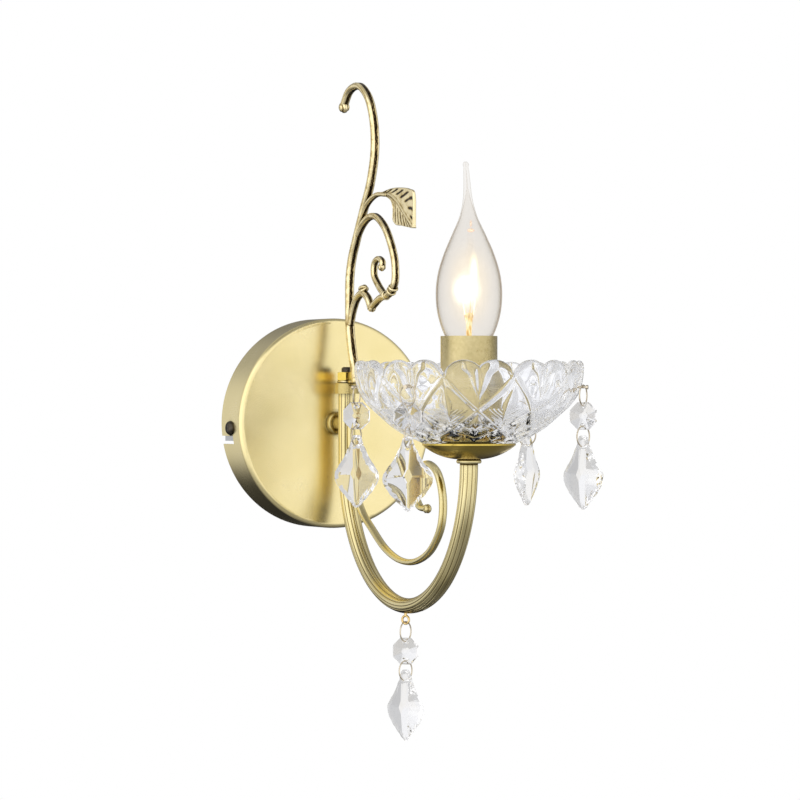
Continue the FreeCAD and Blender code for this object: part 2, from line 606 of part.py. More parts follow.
def bobeche_glass():
    """Turned bowl with two petals to each lobe, cut down between the petals."""
    steps = glass_profile()
    bore = NIPPLE_DIA / 2 + LOOSE
    inward = [(step[0] - GLASS_WALL,) + tuple(step[1:]) for step in steps]
    inside = [(GLASS_DIA / 2 - GLASS_WALL * 0.7, steps[3][1]),
              (steps[2][2] - GLASS_WALL, steps[2][3]),
              (steps[2][0] - GLASS_WALL, steps[2][1], steps[1][2] - GLASS_WALL, steps[1][3]),
              (steps[1][0] - GLASS_WALL * 0.9, steps[1][1] + GLASS_WALL * 0.4,
               steps[0][0] - GLASS_WALL * 0.5, GLASS_FLOOR_Z)]
    bowl = lathe([(bore, GLASS_BASE_Z)] + steps + inside + [(bore, GLASS_FLOOR_Z)], CANDLE)
    rim_z = GLASS_BASE_Z + GLASS_HEIGHT
    centre_z = rim_z - PETAL_RADIUS
    band = tube(GLASS_DIA + 20, GLASS_DIA * 0.6, CANDLE + Z_AXIS * centre_z, Z_AXIS, PETAL_RADIUS + 5)
    quarter = 90.0 / LOBES
    petals = []
    for lobe in range(LOBES):
        for side in (-1, 1):
            out = facing(LOBE_AZIMUTH + lobe * 360.0 / LOBES + side * (quarter - PETAL_SHIFT))
            petals.append(bar(2 * PETAL_RADIUS, CANDLE + out * (GLASS_DIA * 0.25) + Z_AXIS * centre_z,
                              out, GLASS_DIA * 0.4))
    bowl = bowl.cut(band.cut(petals[0].fuse(petals[1:])))
    for azimuth, _ in RIM_STRINGS.values():
        bowl = bowl.cut(bar(PIN_WIRE + 2 * FIT * 2, CANDLE + Z_AXIS * RIM_PIN_Z, facing(azimuth), GLASS_DIA))
    return bowl


# ---- candle ----
def glass_washer():
    return tube(WASHER_DIA, NIPPLE_DIA + 2 * FIT, CANDLE + Z_AXIS * GLASS_FLOOR_Z, Z_AXIS, WASHER_SHEET)


def socket_nipple():
    base = CANDLE + Z_AXIS * ARM_END_Z
    return tube(NIPPLE_DIA, NIPPLE_BORE, base, Z_AXIS, HOLDER_BASE_Z + 6 - ARM_END_Z)


def lock_nut():
    return hex_nut(LOCK_NUT_FLATS, NIPPLE_DIA + 2 * FIT, CANDLE + Z_AXIS * LOCK_NUT_Z, Z_AXIS,
                   LOCK_NUT_HEIGHT)


def lampholder_body():
    """Moulded holder: threaded foot, shoulder, round body and a rim that centres the sleeve."""
    foot, outer = HOLDER_DIA / 2 - 3, HOLDER_DIA / 2
    rim = SLEEVE_DIA / 2 - SLEEVE_WALL - LOOSE
    seat = SHELL_DIA / 2 + FIT
    base, top = HOLDER_BASE_Z, HOLDER_TOP_Z
    thread = NIPPLE_DIA / 2 + FIT
    return lathe([(thread, base), (foot, base), (foot, base + 5), (outer, base + 7),
                  (outer, top - HOLDER_RIM), (rim, top - HOLDER_RIM + 0.5), (rim, top - 0.8),
                  (rim - 0.8, top), (seat, top), (seat, base + 9), (thread, base + 9)], CANDLE)


def lampholder_shell():
    radius, base, top = SHELL_DIA / 2, HOLDER_BASE_Z + 9, HOLDER_TOP_Z - 1
    return lathe([(3.2, base), (radius, base), (radius, top), (radius - SHELL_SHEET, top),
                  (radius - SHELL_SHEET, base + SHELL_SHEET), (3.2, base + SHELL_SHEET)], CANDLE)


def lampholder_contact():
    """Sprung centre tab, bent up under the lamp's tip."""
    base = HOLDER_BASE_Z + 6.6
    tip = BULB_CAP_BASE_Z - BUTTON_HEIGHT - FIT
    outline = [(-2.6, base), (3.2, base), (3.2, base + 0.5), (-1.9, base + 0.5), (-1.4, tip - 0.5),
               (2.2, tip - 0.5), (2.2, tip), (-1.9, tip)]
    return slab(outline, lambda a, b: CANDLE + V(a, -1.5, b), V(0, 3, 0))


def candle_sleeve():
    base = CANDLE + Z_AXIS * GLASS_FLOOR_Z
    return tube(SLEEVE_DIA, SLEEVE_DIA - 2 * SLEEVE_WALL, base, Z_AXIS, SLEEVE_TOP_Z - GLASS_FLOOR_Z)


def bulb_cap():
    """Rolled screw cap, closed below by a black button."""
    radius, base, top = BULB_CAP_DIA / 2, BULB_CAP_BASE_Z, BULB_CAP_TOP_Z
    steps = [(2.6, base), (radius - 2.6, base), (radius - 0.5, base + 2.2)]
    pitch = 2.8
    for turn in range(5):
        z = base + 2.2 + turn * pitch
        steps.append((radius, z + pitch / 2, radius - 0.5, z + pitch))
    steps += [(radius - 0.5, top), (radius - 1.0, top), (radius - 1.0, base + 2.4), (2.6, base + 0.6)]
    return lathe(steps, CANDLE)


def bulb_contact():
    base, radius, height = BULB_CAP_BASE_Z, 2.4, BUTTON_HEIGHT
    sphere = (radius ** 2 + height ** 2) / (2 * height)
    half = math.asin(radius / sphere) / 2
    return lathe([(0, base - height),
                  (sphere * math.sin(half), base - height + sphere * (1 - math.cos(half)), radius, base),
                  (2.6, base), (2.6, base + 0.6), (0, base + 0.6)], CANDLE)


BULB_SIDE = [(5.8, 0.0), (5.9, 3.0), (8.0, 7.0), (12.7, 15.0), (16.2, 25.0), (17.5, 35.5),
             (16.6, 47.0), (13.4, 58.0), (8.9, 69.0), (5.0, 78.0), (3.2, 87.0), (2.4, 97.0), (1.9, 105.6)]


def bulb_skin(inset, top_cut):
    """Tailed candle bulb as a loft of circles; the drawn tip leans."""
    rings = []
    scale = BULB_DIA / 2 / max(r for r, _ in BULB_SIDE)
    height = BULB_TIP_Z - BULB_BEAD_DIA / 2 - BULB_CAP_TOP_Z
    full = BULB_SIDE[-1][1]
    for radius, rise in BULB_SIDE[:len(BULB_SIDE) - top_cut]:
        share = rise / full
        lean = BULB_LEAN * max(0.0, (share - 0.6) / 0.4) ** 2
        centre = CANDLE + V(-lean, 0, BULB_CAP_TOP_Z + share * height)
        size = max(radius * scale - inset, 0.3)
        rings.append(Part.Wire([Part.Circle(centre, Z_AXIS, size).toShape()]))
    return Part.makeLoft(rings, True, False)


def bulb_glass():
    outer, inner = bulb_skin(0, 0), bulb_skin(BULB_WALL, 1)
    tip = ball(BULB_BEAD_DIA, CANDLE + V(-BULB_LEAN, 0, BULB_TIP_Z - BULB_BEAD_DIA / 2))
    return outer.fuse(tip).cut(inner)


def bulb_stem():
    """Glass mount inside the bulb, pinched at its top."""
    base = BULB_CAP_TOP_Z
    return lathe([(0, base), (4.6, base), (2.6, base + 5), (1.7, base + 12, 1.5, base + 24),
                  (2.2, base + 26.5), (0, base + 27.5)], CANDLE)


def bulb_filament():
    """Two support wires from the mount, with the coiled filament between their ends."""
    base, top = BULB_CAP_TOP_Z + 24, BULB_CAP_TOP_Z + 46
    wires = []
    for side in (-1, 1):
        foot, knee, end = V(side * 1.9, 0, base), V(side * 3.4, 0, base + 9), V(side * 3.0, 0, top)
        path = Part.Wire(bent_path([CANDLE + foot, CANDLE + knee, CANDLE + end], (6,)))
        run = knee - foot
        run.normalize()
        wires.append(path.makePipeShell([Part.Wire([Part.Circle(CANDLE + foot, run, 0.35).toShape()])],
                                        True, False))
    coil = bar(1.3, CANDLE + V(-3.4, 0, top), X_AXIS, 6.8)
    return coil.fuse(wires)


# ---- crystal strings ----
def link_ring(centre, face):
    """Wire ring standing in the vertical plane of the horizontal direction face."""
    across = face.cross(Z_AXIS)
    middle, half = RING_DIA / 2 - RING_WIRE / 2, RING_WIRE / 2
    section = [(middle + half * math.cos(math.radians(60 * k)), half * math.sin(math.radians(60 * k)))
               for k in range(6)]
    profile = closed_wire(section, lambda a, b: centre + Z_AXIS * a + across * b)
    return Part.Face(profile).revolve(centre, across, 360)


def drilled(shape, centre, face, hole, thick):
    """Hole through a crystal along face, opened to a cone at both mouths."""
    shape = shape.cut(bar(hole, centre - face * thick, face, 2 * thick))
    for side in (-1, 1):
        cone = Part.makeCone(hole / 2, hole / 2 * (1 + 2 * (HOLE_MOUTH - 1)), thick, centre, face * side)
        shape = shape.cut(cone)
    return shape


def cut_stone(outlines, centre, face):
    """Faceted stone: ruled between upright outlines given as (depth along face, [(width, height)])."""
    across = Z_AXIS.cross(face)
    wires = [closed_wire(points, lambda a, b: centre + face * depth + across * a + Z_AXIS * b)
             for depth, points in outlines]
    return Part.makeLoft(wires, True, True)


def crystal_bead(centre, face):
    """Eight-sided bead with a table on each face and two holes."""
    def octagon(across):
        corner = across / 2 / math.cos(math.pi / 8)
        return [(corner * math.sin(math.pi * (2 * k + 1) / 8), corner * math.cos(math.pi * (2 * k + 1) / 8))
                for k in range(8)]

    table = octagon(BEAD_ACROSS * 0.46)
    girdle = octagon(BEAD_ACROSS)
    stone = cut_stone([(-BEAD_THICK / 2, table), (-BEAD_EDGE / 2, girdle), (BEAD_EDGE / 2, girdle),
                       (BEAD_THICK / 2, table)], centre, face)
    for side in (-1, 1):
        hole = centre + Z_AXIS * (side * (BEAD_ACROSS / 2 - BEAD_HOLE_INSET))
        stone = drilled(stone, hole, face, BEAD_HOLE, BEAD_THICK / 2)
    return stone


# Half of the pendant's outline: (share of half the width, share of the length from the top).
PENDANT_SIDE = [(0.22, 0.0), (0.36, 0.06), (0.42, 0.16), (0.62, 0.28), (0.70, 0.37), (0.90, 0.47),
                (1.0, 0.60), (0.93, 0.70), (0.72, 0.80), (0.40, 0.90), (0.12, 1.0)]


def crystal_pendant(hole, face):
    """Kite-shaped drop with stepped edges, hung by a hole near its top."""
    half, length = PENDANT_WIDTH / 2, PENDANT_LENGTH
    right = [(half * a, -length * b) for a, b in PENDANT_SIDE]
    rim = right + [(-a, b) for a, b in reversed(right)]
    belly = -length * 0.60
    table = [(a * 0.40, belly + (b - belly) * 0.30) for a, b in rim]
    top = hole + Z_AXIS * PENDANT_HOLE_INSET
    stone = cut_stone([(-PENDANT_THICK / 2, table), (-PENDANT_EDGE / 2, rim), (PENDANT_EDGE / 2, rim),
                       (PENDANT_THICK / 2, table)], top, face)
    return drilled(stone, hole, face, PENDANT_HOLE, PENDANT_THICK / 2)


def string_places(carrier_z, carrier_wire):
    """Heights down a string from the axis of the wire that carries its upper ring."""
    wire = RING_DIA / 2 - RING_WIRE / 2
    slack = BEAD_HOLE / 2 - RING_WIRE / 2 - HANG_GAP
    upper = carrier_z + carrier_wire / 2 + HANG_GAP / 2 + RING_WIRE / 2 - wire
    bead_top_hole = upper - wire - slack
    bead = bead_top_hole - BEAD_ACROSS / 2 + BEAD_HOLE_INSET
    bead_low_hole = bead - BEAD_ACROSS / 2 + BEAD_HOLE_INSET
    lower = bead_low_hole - slack - wire
    pendant_hole = lower - wire - (PENDANT_HOLE / 2 - RING_WIRE / 2 - HANG_GAP)
    return {"upper": upper, "bead": bead, "joint": bead_low_hole, "lower": lower, "hole": pendant_hole}


def crystal_string(spot, carrier_z, carrier_wire, faces):
    """Upper ring, bead, lower ring and pendant of one string, hung above the point spot."""
    z = string_places(carrier_z, carrier_wire)
    ring_face, bead_face, low_face, drop_face = [facing(a) for a in faces]
    return {"upper_ring": link_ring(spot + Z_AXIS * z["upper"], ring_face),
            "bead": crystal_bead(spot + Z_AXIS * z["bead"], bead_face),
            "lower_ring": link_ring(spot + Z_AXIS * z["lower"], low_face),
            "pendant": crystal_pendant(spot + Z_AXIS * z["hole"], drop_face)}


def string_spot(azimuth):
    return CANDLE + facing(azimuth) * STRING_RADIUS


def rim_pins():
    """Headed wire pins through the glass, one to each rim string, with a knob that keeps the ring."""
    start = glass_profile()[2][0] - GLASS_WALL - PIN_HEAD_GAP
    wire, head, knob = PIN_WIRE / 2, PIN_HEAD_DIA / 2, PIN_KNOB_DIA / 2
    end = STRING_RADIUS + PIN_REACH
    outline = [(0, start - 0.9), (head * 0.8, start - 0.6, head, start), (wire, start),
               (wire, end - knob), (knob, end - knob), (knob, end), (0, end)]
    return Part.makeCompound([lathe(outline, CANDLE + Z_AXIS * RIM_PIN_Z, facing(azimuth))
                              for azimuth, _ in RIM_STRINGS.values()])


def arm_eye():
    """Small eye under the arm's lowest point, on a short neck."""
    lowest = in_plane(LEG_Y - ARM_REACH / 2, ARM_BOTTOM_Z)
    centre = lowest - Z_AXIS * (LOW_EYE_NECK + LOW_EYE_DIA / 2)
    ring = Part.makeTorus(LOW_EYE_DIA / 2 - LOW_EYE_WIRE / 2, LOW_EYE_WIRE / 2, centre,
                          facing(LOW_STRING_FACES[0]))
    neck = bar(LOW_EYE_WIRE * 1.2, lowest + Z_AXIS * REED_DEPTH, V(0, 0, -1),
               REED_DEPTH + LOW_EYE_NECK + LOW_EYE_WIRE / 2)
    return ring.fuse(neck)


def build():
    """Every node's shape by name."""
    tube_shape, arm_outside = arm_tube()
    block_shape, block_screws = terminal_parts()
    earth, earth_washer = earth_screw()
    nodes = {
        "wall_bracket": wall_bracket(), "rose_shell": rose_shell(), "rose_side_screws": side_screws(),
        "terminal_block": block_shape, "terminal_screws": block_screws,
        "earth_screw": earth, "earth_washer": earth_washer,
        "boss_ring": boss_ring(), "neck_tube": neck_tube(arm_outside),
        "neck_washer": neck_washer(), "neck_nut": neck_nut(),
        "arm_tube": tube_shape, "arm_leads": arm_leads(), "arm_eye": arm_eye().cut(arm_outside),
        "top_collar": top_collar(), "top_stud": top_stud(), "top_nut": top_nut(),
        "scroll_casting": scroll_casting(), "volute_rod": volute_rod().cut(arm_outside),
        "neck_ring": neck_ring(), "drip_pan": drip_pan(), "bobeche_glass": bobeche_glass(),
        "rim_pins": rim_pins(), "glass_washer": glass_washer(), "socket_nipple": socket_nipple(),
        "lock_nut": lock_nut(), "lampholder_body": lampholder_body(),
        "lampholder_shell": lampholder_shell(), "lampholder_contact": lampholder_contact(),
        "candle_sleeve": candle_sleeve(), "bulb_cap": bulb_cap(), "bulb_contact": bulb_contact(),
        "bulb_glass": bulb_glass(), "bulb_stem": bulb_stem().cut(bulb_filament()),
        "bulb_filament": bulb_filament(),
    }
    strings = {name: (string_spot(azimuth), RIM_PIN_Z, PIN_WIRE, faces)
               for name, (azimuth, faces) in RIM_STRINGS.items()}
    eye_wire_z = ARM_BOTTOM_Z - LOW_EYE_NECK - LOW_EYE_DIA + LOW_EYE_WIRE / 2
    strings["bottom"] = (in_plane(LEG_Y - ARM_REACH / 2, 0), eye_wire_z, LOW_EYE_WIRE, LOW_STRING_FACES)
    for name, place in strings.items():
        for piece, shape in crystal_string(*place).items():
            nodes[name + "_" + piece] = shape
    return nodes


os.makedirs("parts", exist_ok=True)
for node, shape in build().items():
    shape.exportStep("parts/" + node + ".step")
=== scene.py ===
import json
import math

import bmesh
import bpy
import numpy as np
from mathutils import Matrix, Vector


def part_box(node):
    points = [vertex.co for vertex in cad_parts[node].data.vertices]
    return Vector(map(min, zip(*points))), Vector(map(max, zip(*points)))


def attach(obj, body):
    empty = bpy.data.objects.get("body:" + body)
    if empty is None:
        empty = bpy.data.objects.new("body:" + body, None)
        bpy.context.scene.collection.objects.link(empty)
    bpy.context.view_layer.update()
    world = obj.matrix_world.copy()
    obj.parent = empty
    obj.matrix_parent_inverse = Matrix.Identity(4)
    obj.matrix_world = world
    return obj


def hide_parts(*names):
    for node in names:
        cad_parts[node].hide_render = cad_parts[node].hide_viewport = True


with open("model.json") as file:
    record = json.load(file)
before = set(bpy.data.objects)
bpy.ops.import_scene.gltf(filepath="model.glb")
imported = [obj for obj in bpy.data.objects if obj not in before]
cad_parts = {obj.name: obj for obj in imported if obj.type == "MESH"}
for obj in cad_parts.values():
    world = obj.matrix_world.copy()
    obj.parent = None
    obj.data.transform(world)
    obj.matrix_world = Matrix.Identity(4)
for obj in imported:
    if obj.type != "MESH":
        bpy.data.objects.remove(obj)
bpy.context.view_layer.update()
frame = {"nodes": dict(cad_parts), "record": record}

# Crystal wall sconce. Metres, in the frame of the CAD model: the wall is the plane y = 0, the front
# is -Y and up is +Z; the arm, scroll and volute lie in the plane x = 0. Shapes are given in
# millimetres; the studio and the materials are in metres.

MM = 0.001
nodes = frame["nodes"]
scene = bpy.context.scene
scene.view_settings.view_transform = "Standard"
# Light stays long inside cut glass and crosses many faint shells of glow, so its paths may be long.
cycles = scene.cycles
cycles.max_bounces = cycles.transmission_bounces = cycles.glossy_bounces = 40
cycles.transparent_max_bounces = 80

CANDLE_Y = -192.5
LEG_Y, ARM_REACH, ARM_DROP = -40.5, 152.0, 79.2
LEG_TOP, ARM_END_Z = 19.8, -20.2

CAMERA_PLACE, CAMERA_TURN, CAMERA_LENS = (-0.8114, -1.7731, 0.0133), -26, 151.5
# Each lamp's place, width and power.
LAMPS = {"key": ((-1.3, -1.5, 1.1), 1.1, 26.0), "fill": ((1.5, -1.3, 0.5), 1.2, 17.0),
         "top": ((-0.9, 0.1, 1.6), 1.0, 9.0)}
LAMP_TARGET = Vector((0.0, -0.12, 0.03))
FLOOR_REACH, FLOOR_HEIGHT = 3.0, -1.25
# Brightness of the room round the part, by degrees from the front: soft boxes on the left and in front.
ROOM = ((-180, 0.84), (-142, 0.9), (-128, 0.5), (-114, 1.15), (-90, 1.5), (-56, 1.5), (-25, 1.2), (2, 1.2),
        (32, 1.18), (58, 1.02), (84, 0.62), (110, 0.45), (124, 0.5), (165, 0.45), (180, 0.84))
CEILING, UNDERSIDE = 0.38, 0.30
GLASS_SHARE, GLASS_LEAST = 0.56, 0.30
MATTE_LIGHT = 0.52
WHITE = (1.0, 1.0, 1.0)


# ---- shader nodes ----
def put(node, key, value):
    """Give a node's input a number, a colour or another node's output."""
    if isinstance(value, bpy.types.NodeSocket):
        node.id_data.links.new(value, node.inputs[key])
    else:
        node.inputs[key].default_value = value


def shader_node(tree, kind, inputs=(), **settings):
    """A node with its settings, and its inputs by name or place."""
    node = tree.nodes.new("ShaderNode" + kind)
    for key, value in settings.items():
        setattr(node, key, value)
    for key, value in dict(inputs).items():
        put(node, key, value)
    return node


def maths(operation, *values):
    """Math node on outputs and numbers."""
    tree = next(value.id_data for value in values if isinstance(value, bpy.types.NodeSocket))
    return shader_node(tree, "Math", enumerate(values), operation=operation).outputs[0]


def times(a, b):
    return maths("MULTIPLY", a, b)


def plus(a, b):
    return maths("ADD", a, b)


def rest_of(share):
    return maths("SUBTRACT", 1.0, share)


def weighted(a, b, share):
    """The sum of share of a and the rest of b."""
    return plus(times(a, share), times(b, 1 - share))


def soft_step(value, low, high, start=0.0, end=1.0):
    limits = {"Value": value, "From Min": low, "From Max": high, "To Min": start, "To Max": end}
    return shader_node(value.id_data, "MapRange", limits, interpolation_type="SMOOTHSTEP").outputs["Result"]


def colour_ramp(value, stops):
    ramp = shader_node(value.id_data, "ValToRGB", {0: value})
    elements = ramp.color_ramp.elements
    while len(elements) < len(stops):
        elements.new(0.5)
    for element, (at, color) in zip(elements, stops):
        element.position = at
        element.color = (*color, 1)
    return ramp.outputs[0]


def noise_of(place, scale, detail=3.0, rough=0.5, stretch=None):
    """Noise in the object's own space; scale is features per metre."""
    tree = place.id_data
    if stretch:
        place = shader_node(tree, "Mapping", {"Scale": stretch, "Vector": place}).outputs[0]
    settings = {"Vector": place, "Scale": scale, "Detail": detail, "Roughness": rough}
    return shader_node(tree, "TexNoise", settings).outputs["Fac"]


def add_bump(shader, height, distance, strength=1.0):
    settings = {"Distance": distance, "Strength": strength, "Height": height}
    put(shader, "Normal", shader_node(height.id_data, "Bump", settings).outputs[0])


def darkened(color, by):
    """A colour times another one."""
    settings = {"Factor": 1.0, 6: color, 7: by}
    return shader_node(color.id_data, "Mix", settings, data_type="RGBA", blend_type="MULTIPLY").outputs[2]


def painted_crease_shade(color, reach, deepest=0.22):
    """Painted shade: darkens a colour in narrow creases and corners, where ambient occlusion finds them."""
    shade = shader_node(color.id_data, "AmbientOcclusion", {"Distance": reach}, samples=6)
    return darkened(color, colour_ramp(shade.outputs["AO"], [(0.35, (deepest,) * 3), (0.93, WHITE)]))


def bare_material(name):
    material = bpy.data.materials.new(name)
    material.use_nodes = True
    material.node_tree.nodes.clear()
    return material, material.node_tree


def show_mix(tree, share, first, second):
    """Show two shaders mixed; share is the second one's."""
    mix = shader_node(tree, "MixShader", {0: share, 1: first.outputs[0], 2: second.outputs[0]})
    shader_node(tree, "OutputMaterial", {"Surface": mix.outputs[0]})


# ---- studio ----
def new_object(name, data):
    thing = bpy.data.objects.new(name, data)
    scene.collection.objects.link(thing)
    return thing


def make_world():
    """White to the camera; mirrors and glass see white soft boxes round a darker front of the room."""
    world = bpy.data.worlds.new("studio")
    world.use_nodes = True
    scene.world = world
    tree = world.node_tree
    tree.nodes.clear()
    direction = shader_node(tree, "TexCoord").outputs["Generated"]
    x, y, z = shader_node(tree, "SeparateXYZ", {0: direction}).outputs
    azimuth = maths("ARCTAN2", x, times(y, -1.0))
    around = shader_node(tree, "MapRange", {"Value": azimuth, "From Min": -math.pi, "From Max": math.pi})
    level = colour_ramp(around.outputs["Result"], [((turn + 180) / 360, (tone,) * 3) for turn, tone in ROOM])
    high = soft_step(z, 0.72, 0.92)
    level = plus(times(level, rest_of(high)), times(high, CEILING))
    level = times(level, soft_step(z, -0.75, -0.22, UNDERSIDE, 1.0))
    light = shader_node(tree, "LightPath")
    camera, mirror, glass = [light.outputs[f"Is {kind} Ray"] for kind in ("Camera", "Glossy", "Transmission")]
    # Behind, mirrors see a dark wall, lighter above, with one light patch to the left.
    patch = times(soft_step(x, -0.08, -0.34), soft_step(maths("ABSOLUTE", z), 0.24, 0.50, 0.92, 0.0))
    patch = times(patch, rest_of(glass))
    wall = times(soft_step(y, 0.45, 0.85), soft_step(z, -0.30, 0.40, 0.94, 0.48))
    behind = times(level, rest_of(times(wall, rest_of(patch))))
    # Glass sees a calmer room, and white straight behind.
    through = maths("MINIMUM", plus(times(level, GLASS_SHARE), GLASS_LEAST), 1.0)
    through = maths("MAXIMUM", through, soft_step(y, 0.55, 0.85))
    # A ray that has left glass counts as a mirror's too, so there the mirror's room is let in by half.
    halved = times(mirror, rest_of(times(glass, 0.5)))
    other = rest_of(maths("MAXIMUM", maths("MAXIMUM", mirror, glass), camera))
    strength = plus(times(halved, behind), times(glass, through))
    strength = plus(strength, plus(camera, times(other, MATTE_LIGHT)))
    background = shader_node(tree, "Background", {"Color": (*WHITE, 1), "Strength": strength})
    shader_node(tree, "OutputWorld", {"Surface": background.outputs[0]})


def soft_light(name, place, size, power):
    data = bpy.data.lights.new(name, "AREA")
    data.shape = "DISK"
    data.size = size
    data.energy = power
    lamp = new_object(name, data)
    lamp.location = place
    lamp.rotation_euler = (LAMP_TARGET - Vector(place)).to_track_quat("-Z", "Y").to_euler()
    lamp.visible_transmission = lamp.visible_glossy = False


def make_floor():
    """Pale floor well below the lamp, white where it is seen directly."""
    mesh = bpy.data.meshes.new("floor")
    near, far = -FLOOR_REACH, FLOOR_REACH
    corners = [(x, y, FLOOR_HEIGHT) for x, y in ((near, near), (far, near), (far, far), (near, far))]
    mesh.from_pydata(corners, [], [(0, 1, 2, 3)])
    floor = new_object("floor", mesh)
    material, tree = bare_material("pale_floor")
    light = shader_node(tree, "LightPath")
    seen = maths("MAXIMUM", light.outputs["Is Camera Ray"], times(light.outputs["Is Transmission Ray"], 0.6))
    matte = shader_node(tree, "BsdfDiffuse", {"Color": (0.32, 0.32, 0.31, 1)})
    show_mix(tree, seen, matte, shader_node(tree, "Emission"))
    mesh.materials.append(material)
    floor.visible_glossy = False


def make_camera():
    data = bpy.data.cameras.new("camera")
    data.sensor_width = 36.0
    data.lens = CAMERA_LENS
    camera = new_object("camera", data)
    camera.location = CAMERA_PLACE
    camera.rotation_euler = (math.radians(90), 0, math.radians(CAMERA_TURN))
    scene.camera = camera


# ---- materials ----
# Dark and light colour, roughness, then grain per metre and its depth, spread of roughness and the reach of
# painted shade in creases.
METALS = {
    "satin_gold": ((0.79, 0.67, 0.33), (0.89, 0.77, 0.43), 0.25, 1400.0, 0.000004, 0.03, 0.003),
    "champagne_gold": ((0.47, 0.37, 0.14), (0.60, 0.49, 0.22), 0.25, 1500.0, 0.000002, 0.03, 0.0012),
    "sleeve_gold": ((0.42, 0.34, 0.15), (0.64, 0.54, 0.29), 0.30, 520.0, 0.00001),
    # The pan's gold is painted light: a brighter, more saturated copy of the gold, brightened against the
    # shade the drip pan sits in; the top nut takes it too.
    "pan_gold_lit_copy": ((0.58, 0.42, 0.085), (0.80, 0.60, 0.14), 0.22, 1600.0, 0.000003, 0.03, 0.002),
    "zinc_steel": ((0.48, 0.49, 0.50), (0.70, 0.71, 0.72), 0.34, 500.0, 0.00002, 0.10),
    "bright_brass": ((0.70, 0.50, 0.20), (0.86, 0.66, 0.32), 0.22),
    "dark_steel": ((0.035, 0.03, 0.025), (0.12, 0.10, 0.075), 0.34, 700.0, 0.00003),
    "ring_wire": ((0.50, 0.43, 0.32), (0.74, 0.66, 0.52), 0.14),
    "nickel": ((0.60, 0.58, 0.54), (0.78, 0.76, 0.72), 0.20),
}
# Colour and roughness.
MOULDED = {
    "ivory_plastic": ((0.80, 0.76, 0.66), 0.42), "lead_jacket": ((0.50, 0.47, 0.42), 0.30),
    "clear_rubber": ((0.72, 0.72, 0.70), 0.55), "black_glass": ((0.02, 0.02, 0.022), 0.15),
}


def finish_of(name, color, metallic=0.0, roughness=0.5):
    """A Principled material, with its shader and object coordinates."""
    material = bpy.data.materials.new(name)
    material.use_nodes = True
    shader = material.node_tree.nodes["Principled BSDF"]
    for key, value in (("Base Color", (*color, 1)), ("Metallic", metallic), ("Roughness", roughness)):
        put(shader, key, value)
    return material, shader, shader_node(material.node_tree, "TexCoord").outputs["Object"]


def attribute_of(shader, name):
    return shader_node(shader.id_data, "Attribute", attribute_name=name).outputs["Fac"]


def metal(name, dark, light, roughness, grain=900.0, grain_depth=0.00002, spread=0.06, crease=0.0):
    """Metal or metallic lacquer whose colour and roughness drift a little, with a fine grain, and painted
    shade in its creases when a reach is given.
    """
    middle = [(a + b) / 2 for a, b in zip(dark, light)]
    material, shader, place = finish_of(name, middle, 1.0, roughness)
    fine = noise_of(place, grain, 1.5)
    both = weighted(fine, noise_of(place, 35.0, 2.0), 0.35)
    color = colour_ramp(both, [(0.32, dark), (0.68, light)])
    # Painted shade in creases, from ambient occlusion, when a reach is given.
    put(shader, "Base Color", painted_crease_shade(color, crease) if crease else color)
    put(shader, "Roughness", soft_step(both, 0.3, 0.7, roughness - spread, roughness + spread))
    add_bump(shader, fine, grain_depth)
    return material


def reeded_gold():
    """The arm's satin lacquer, with painted shade in the lines between its reeds and in its creases."""
    material, shader, place = finish_of("reeded_gold", (0.55, 0.44, 0.19), 1.0, 0.24)
    fine = noise_of(place, 1500.0, 1.5)
    both = weighted(fine, noise_of(place, 40.0, 2.0), 0.3)
    lacquer = colour_ramp(both, [(0.32, (0.66, 0.56, 0.27)), (0.68, (0.80, 0.70, 0.39))])
    # Painted shade: dark brown in the narrow lines between the reeds, from the value the arm's mesh carries.
    painted_groove_shade = colour_ramp(attribute_of(shader, "wear_and_shade"),
                        [(0.0, (0.20, 0.15, 0.10)), (0.5, (0.66, 0.60, 0.50)), (1.0, WHITE)])
    # Painted shade in creases as well, from ambient occlusion.
    put(shader, "Base Color", painted_crease_shade(darkened(lacquer, painted_groove_shade), 0.003, 0.3))
    put(shader, "Roughness", soft_step(both, 0.3, 0.7, 0.18, 0.23))
    add_bump(shader, fine, 0.000002)
    return material


def antique_brass():
    """Rubbed cast brass: bright on the ridges, dark brown in the low spots of its rough skin."""
    material, shader, place = finish_of("antique_brass", (0.45, 0.34, 0.16), 1.0, 0.34)
    level = weighted(noise_of(place, 210.0, 5.0, 0.62), noise_of(place, 1500.0), 0.8)
    tone = plus(attribute_of(shader, "wear_and_shade"), times(maths("SUBTRACT", level, 0.5), 1.3))
    color = colour_ramp(tone, [(0.14, (0.016, 0.010, 0.005)), (0.36, (0.17, 0.11, 0.04)),
                               (0.58, (0.62, 0.48, 0.21)), (0.84, (0.95, 0.82, 0.50))])
    # Painted shade in creases, from ambient occlusion, laid over the brass's own dark patina in its low
    # spots.
    put(shader, "Base Color", painted_crease_shade(color, 0.002, 0.12))
    put(shader, "Roughness", soft_step(level, 0.35, 0.65, 0.40, 0.20))
    add_bump(shader, level, 0.00016, 0.8)
    return material


def moulded(name, color, roughness):
    material, shader, place = finish_of(name, color, 0.0, roughness)
    grain = noise_of(place, 800.0)
    darker, lighter = [tuple(c * k for c in color) for k in (0.93, 1.04)]
    put(shader, "Base Color", colour_ramp(grain, [(0.3, darker), (0.7, lighter)]))
    add_bump(shader, grain, 0.00002)
    return material


def clear_glass(name, color, roughness, waves, depth, strength):
    """Solid clear glass; its faint waves have a number per metre and a detail."""
    material, shader, place = finish_of(name, color, 0.0, roughness)
    put(shader, "Transmission Weight", 1.0)
    put(shader, "IOR", 1.50)
    add_bump(shader, noise_of(place, *waves), depth, strength)
    return material, shader


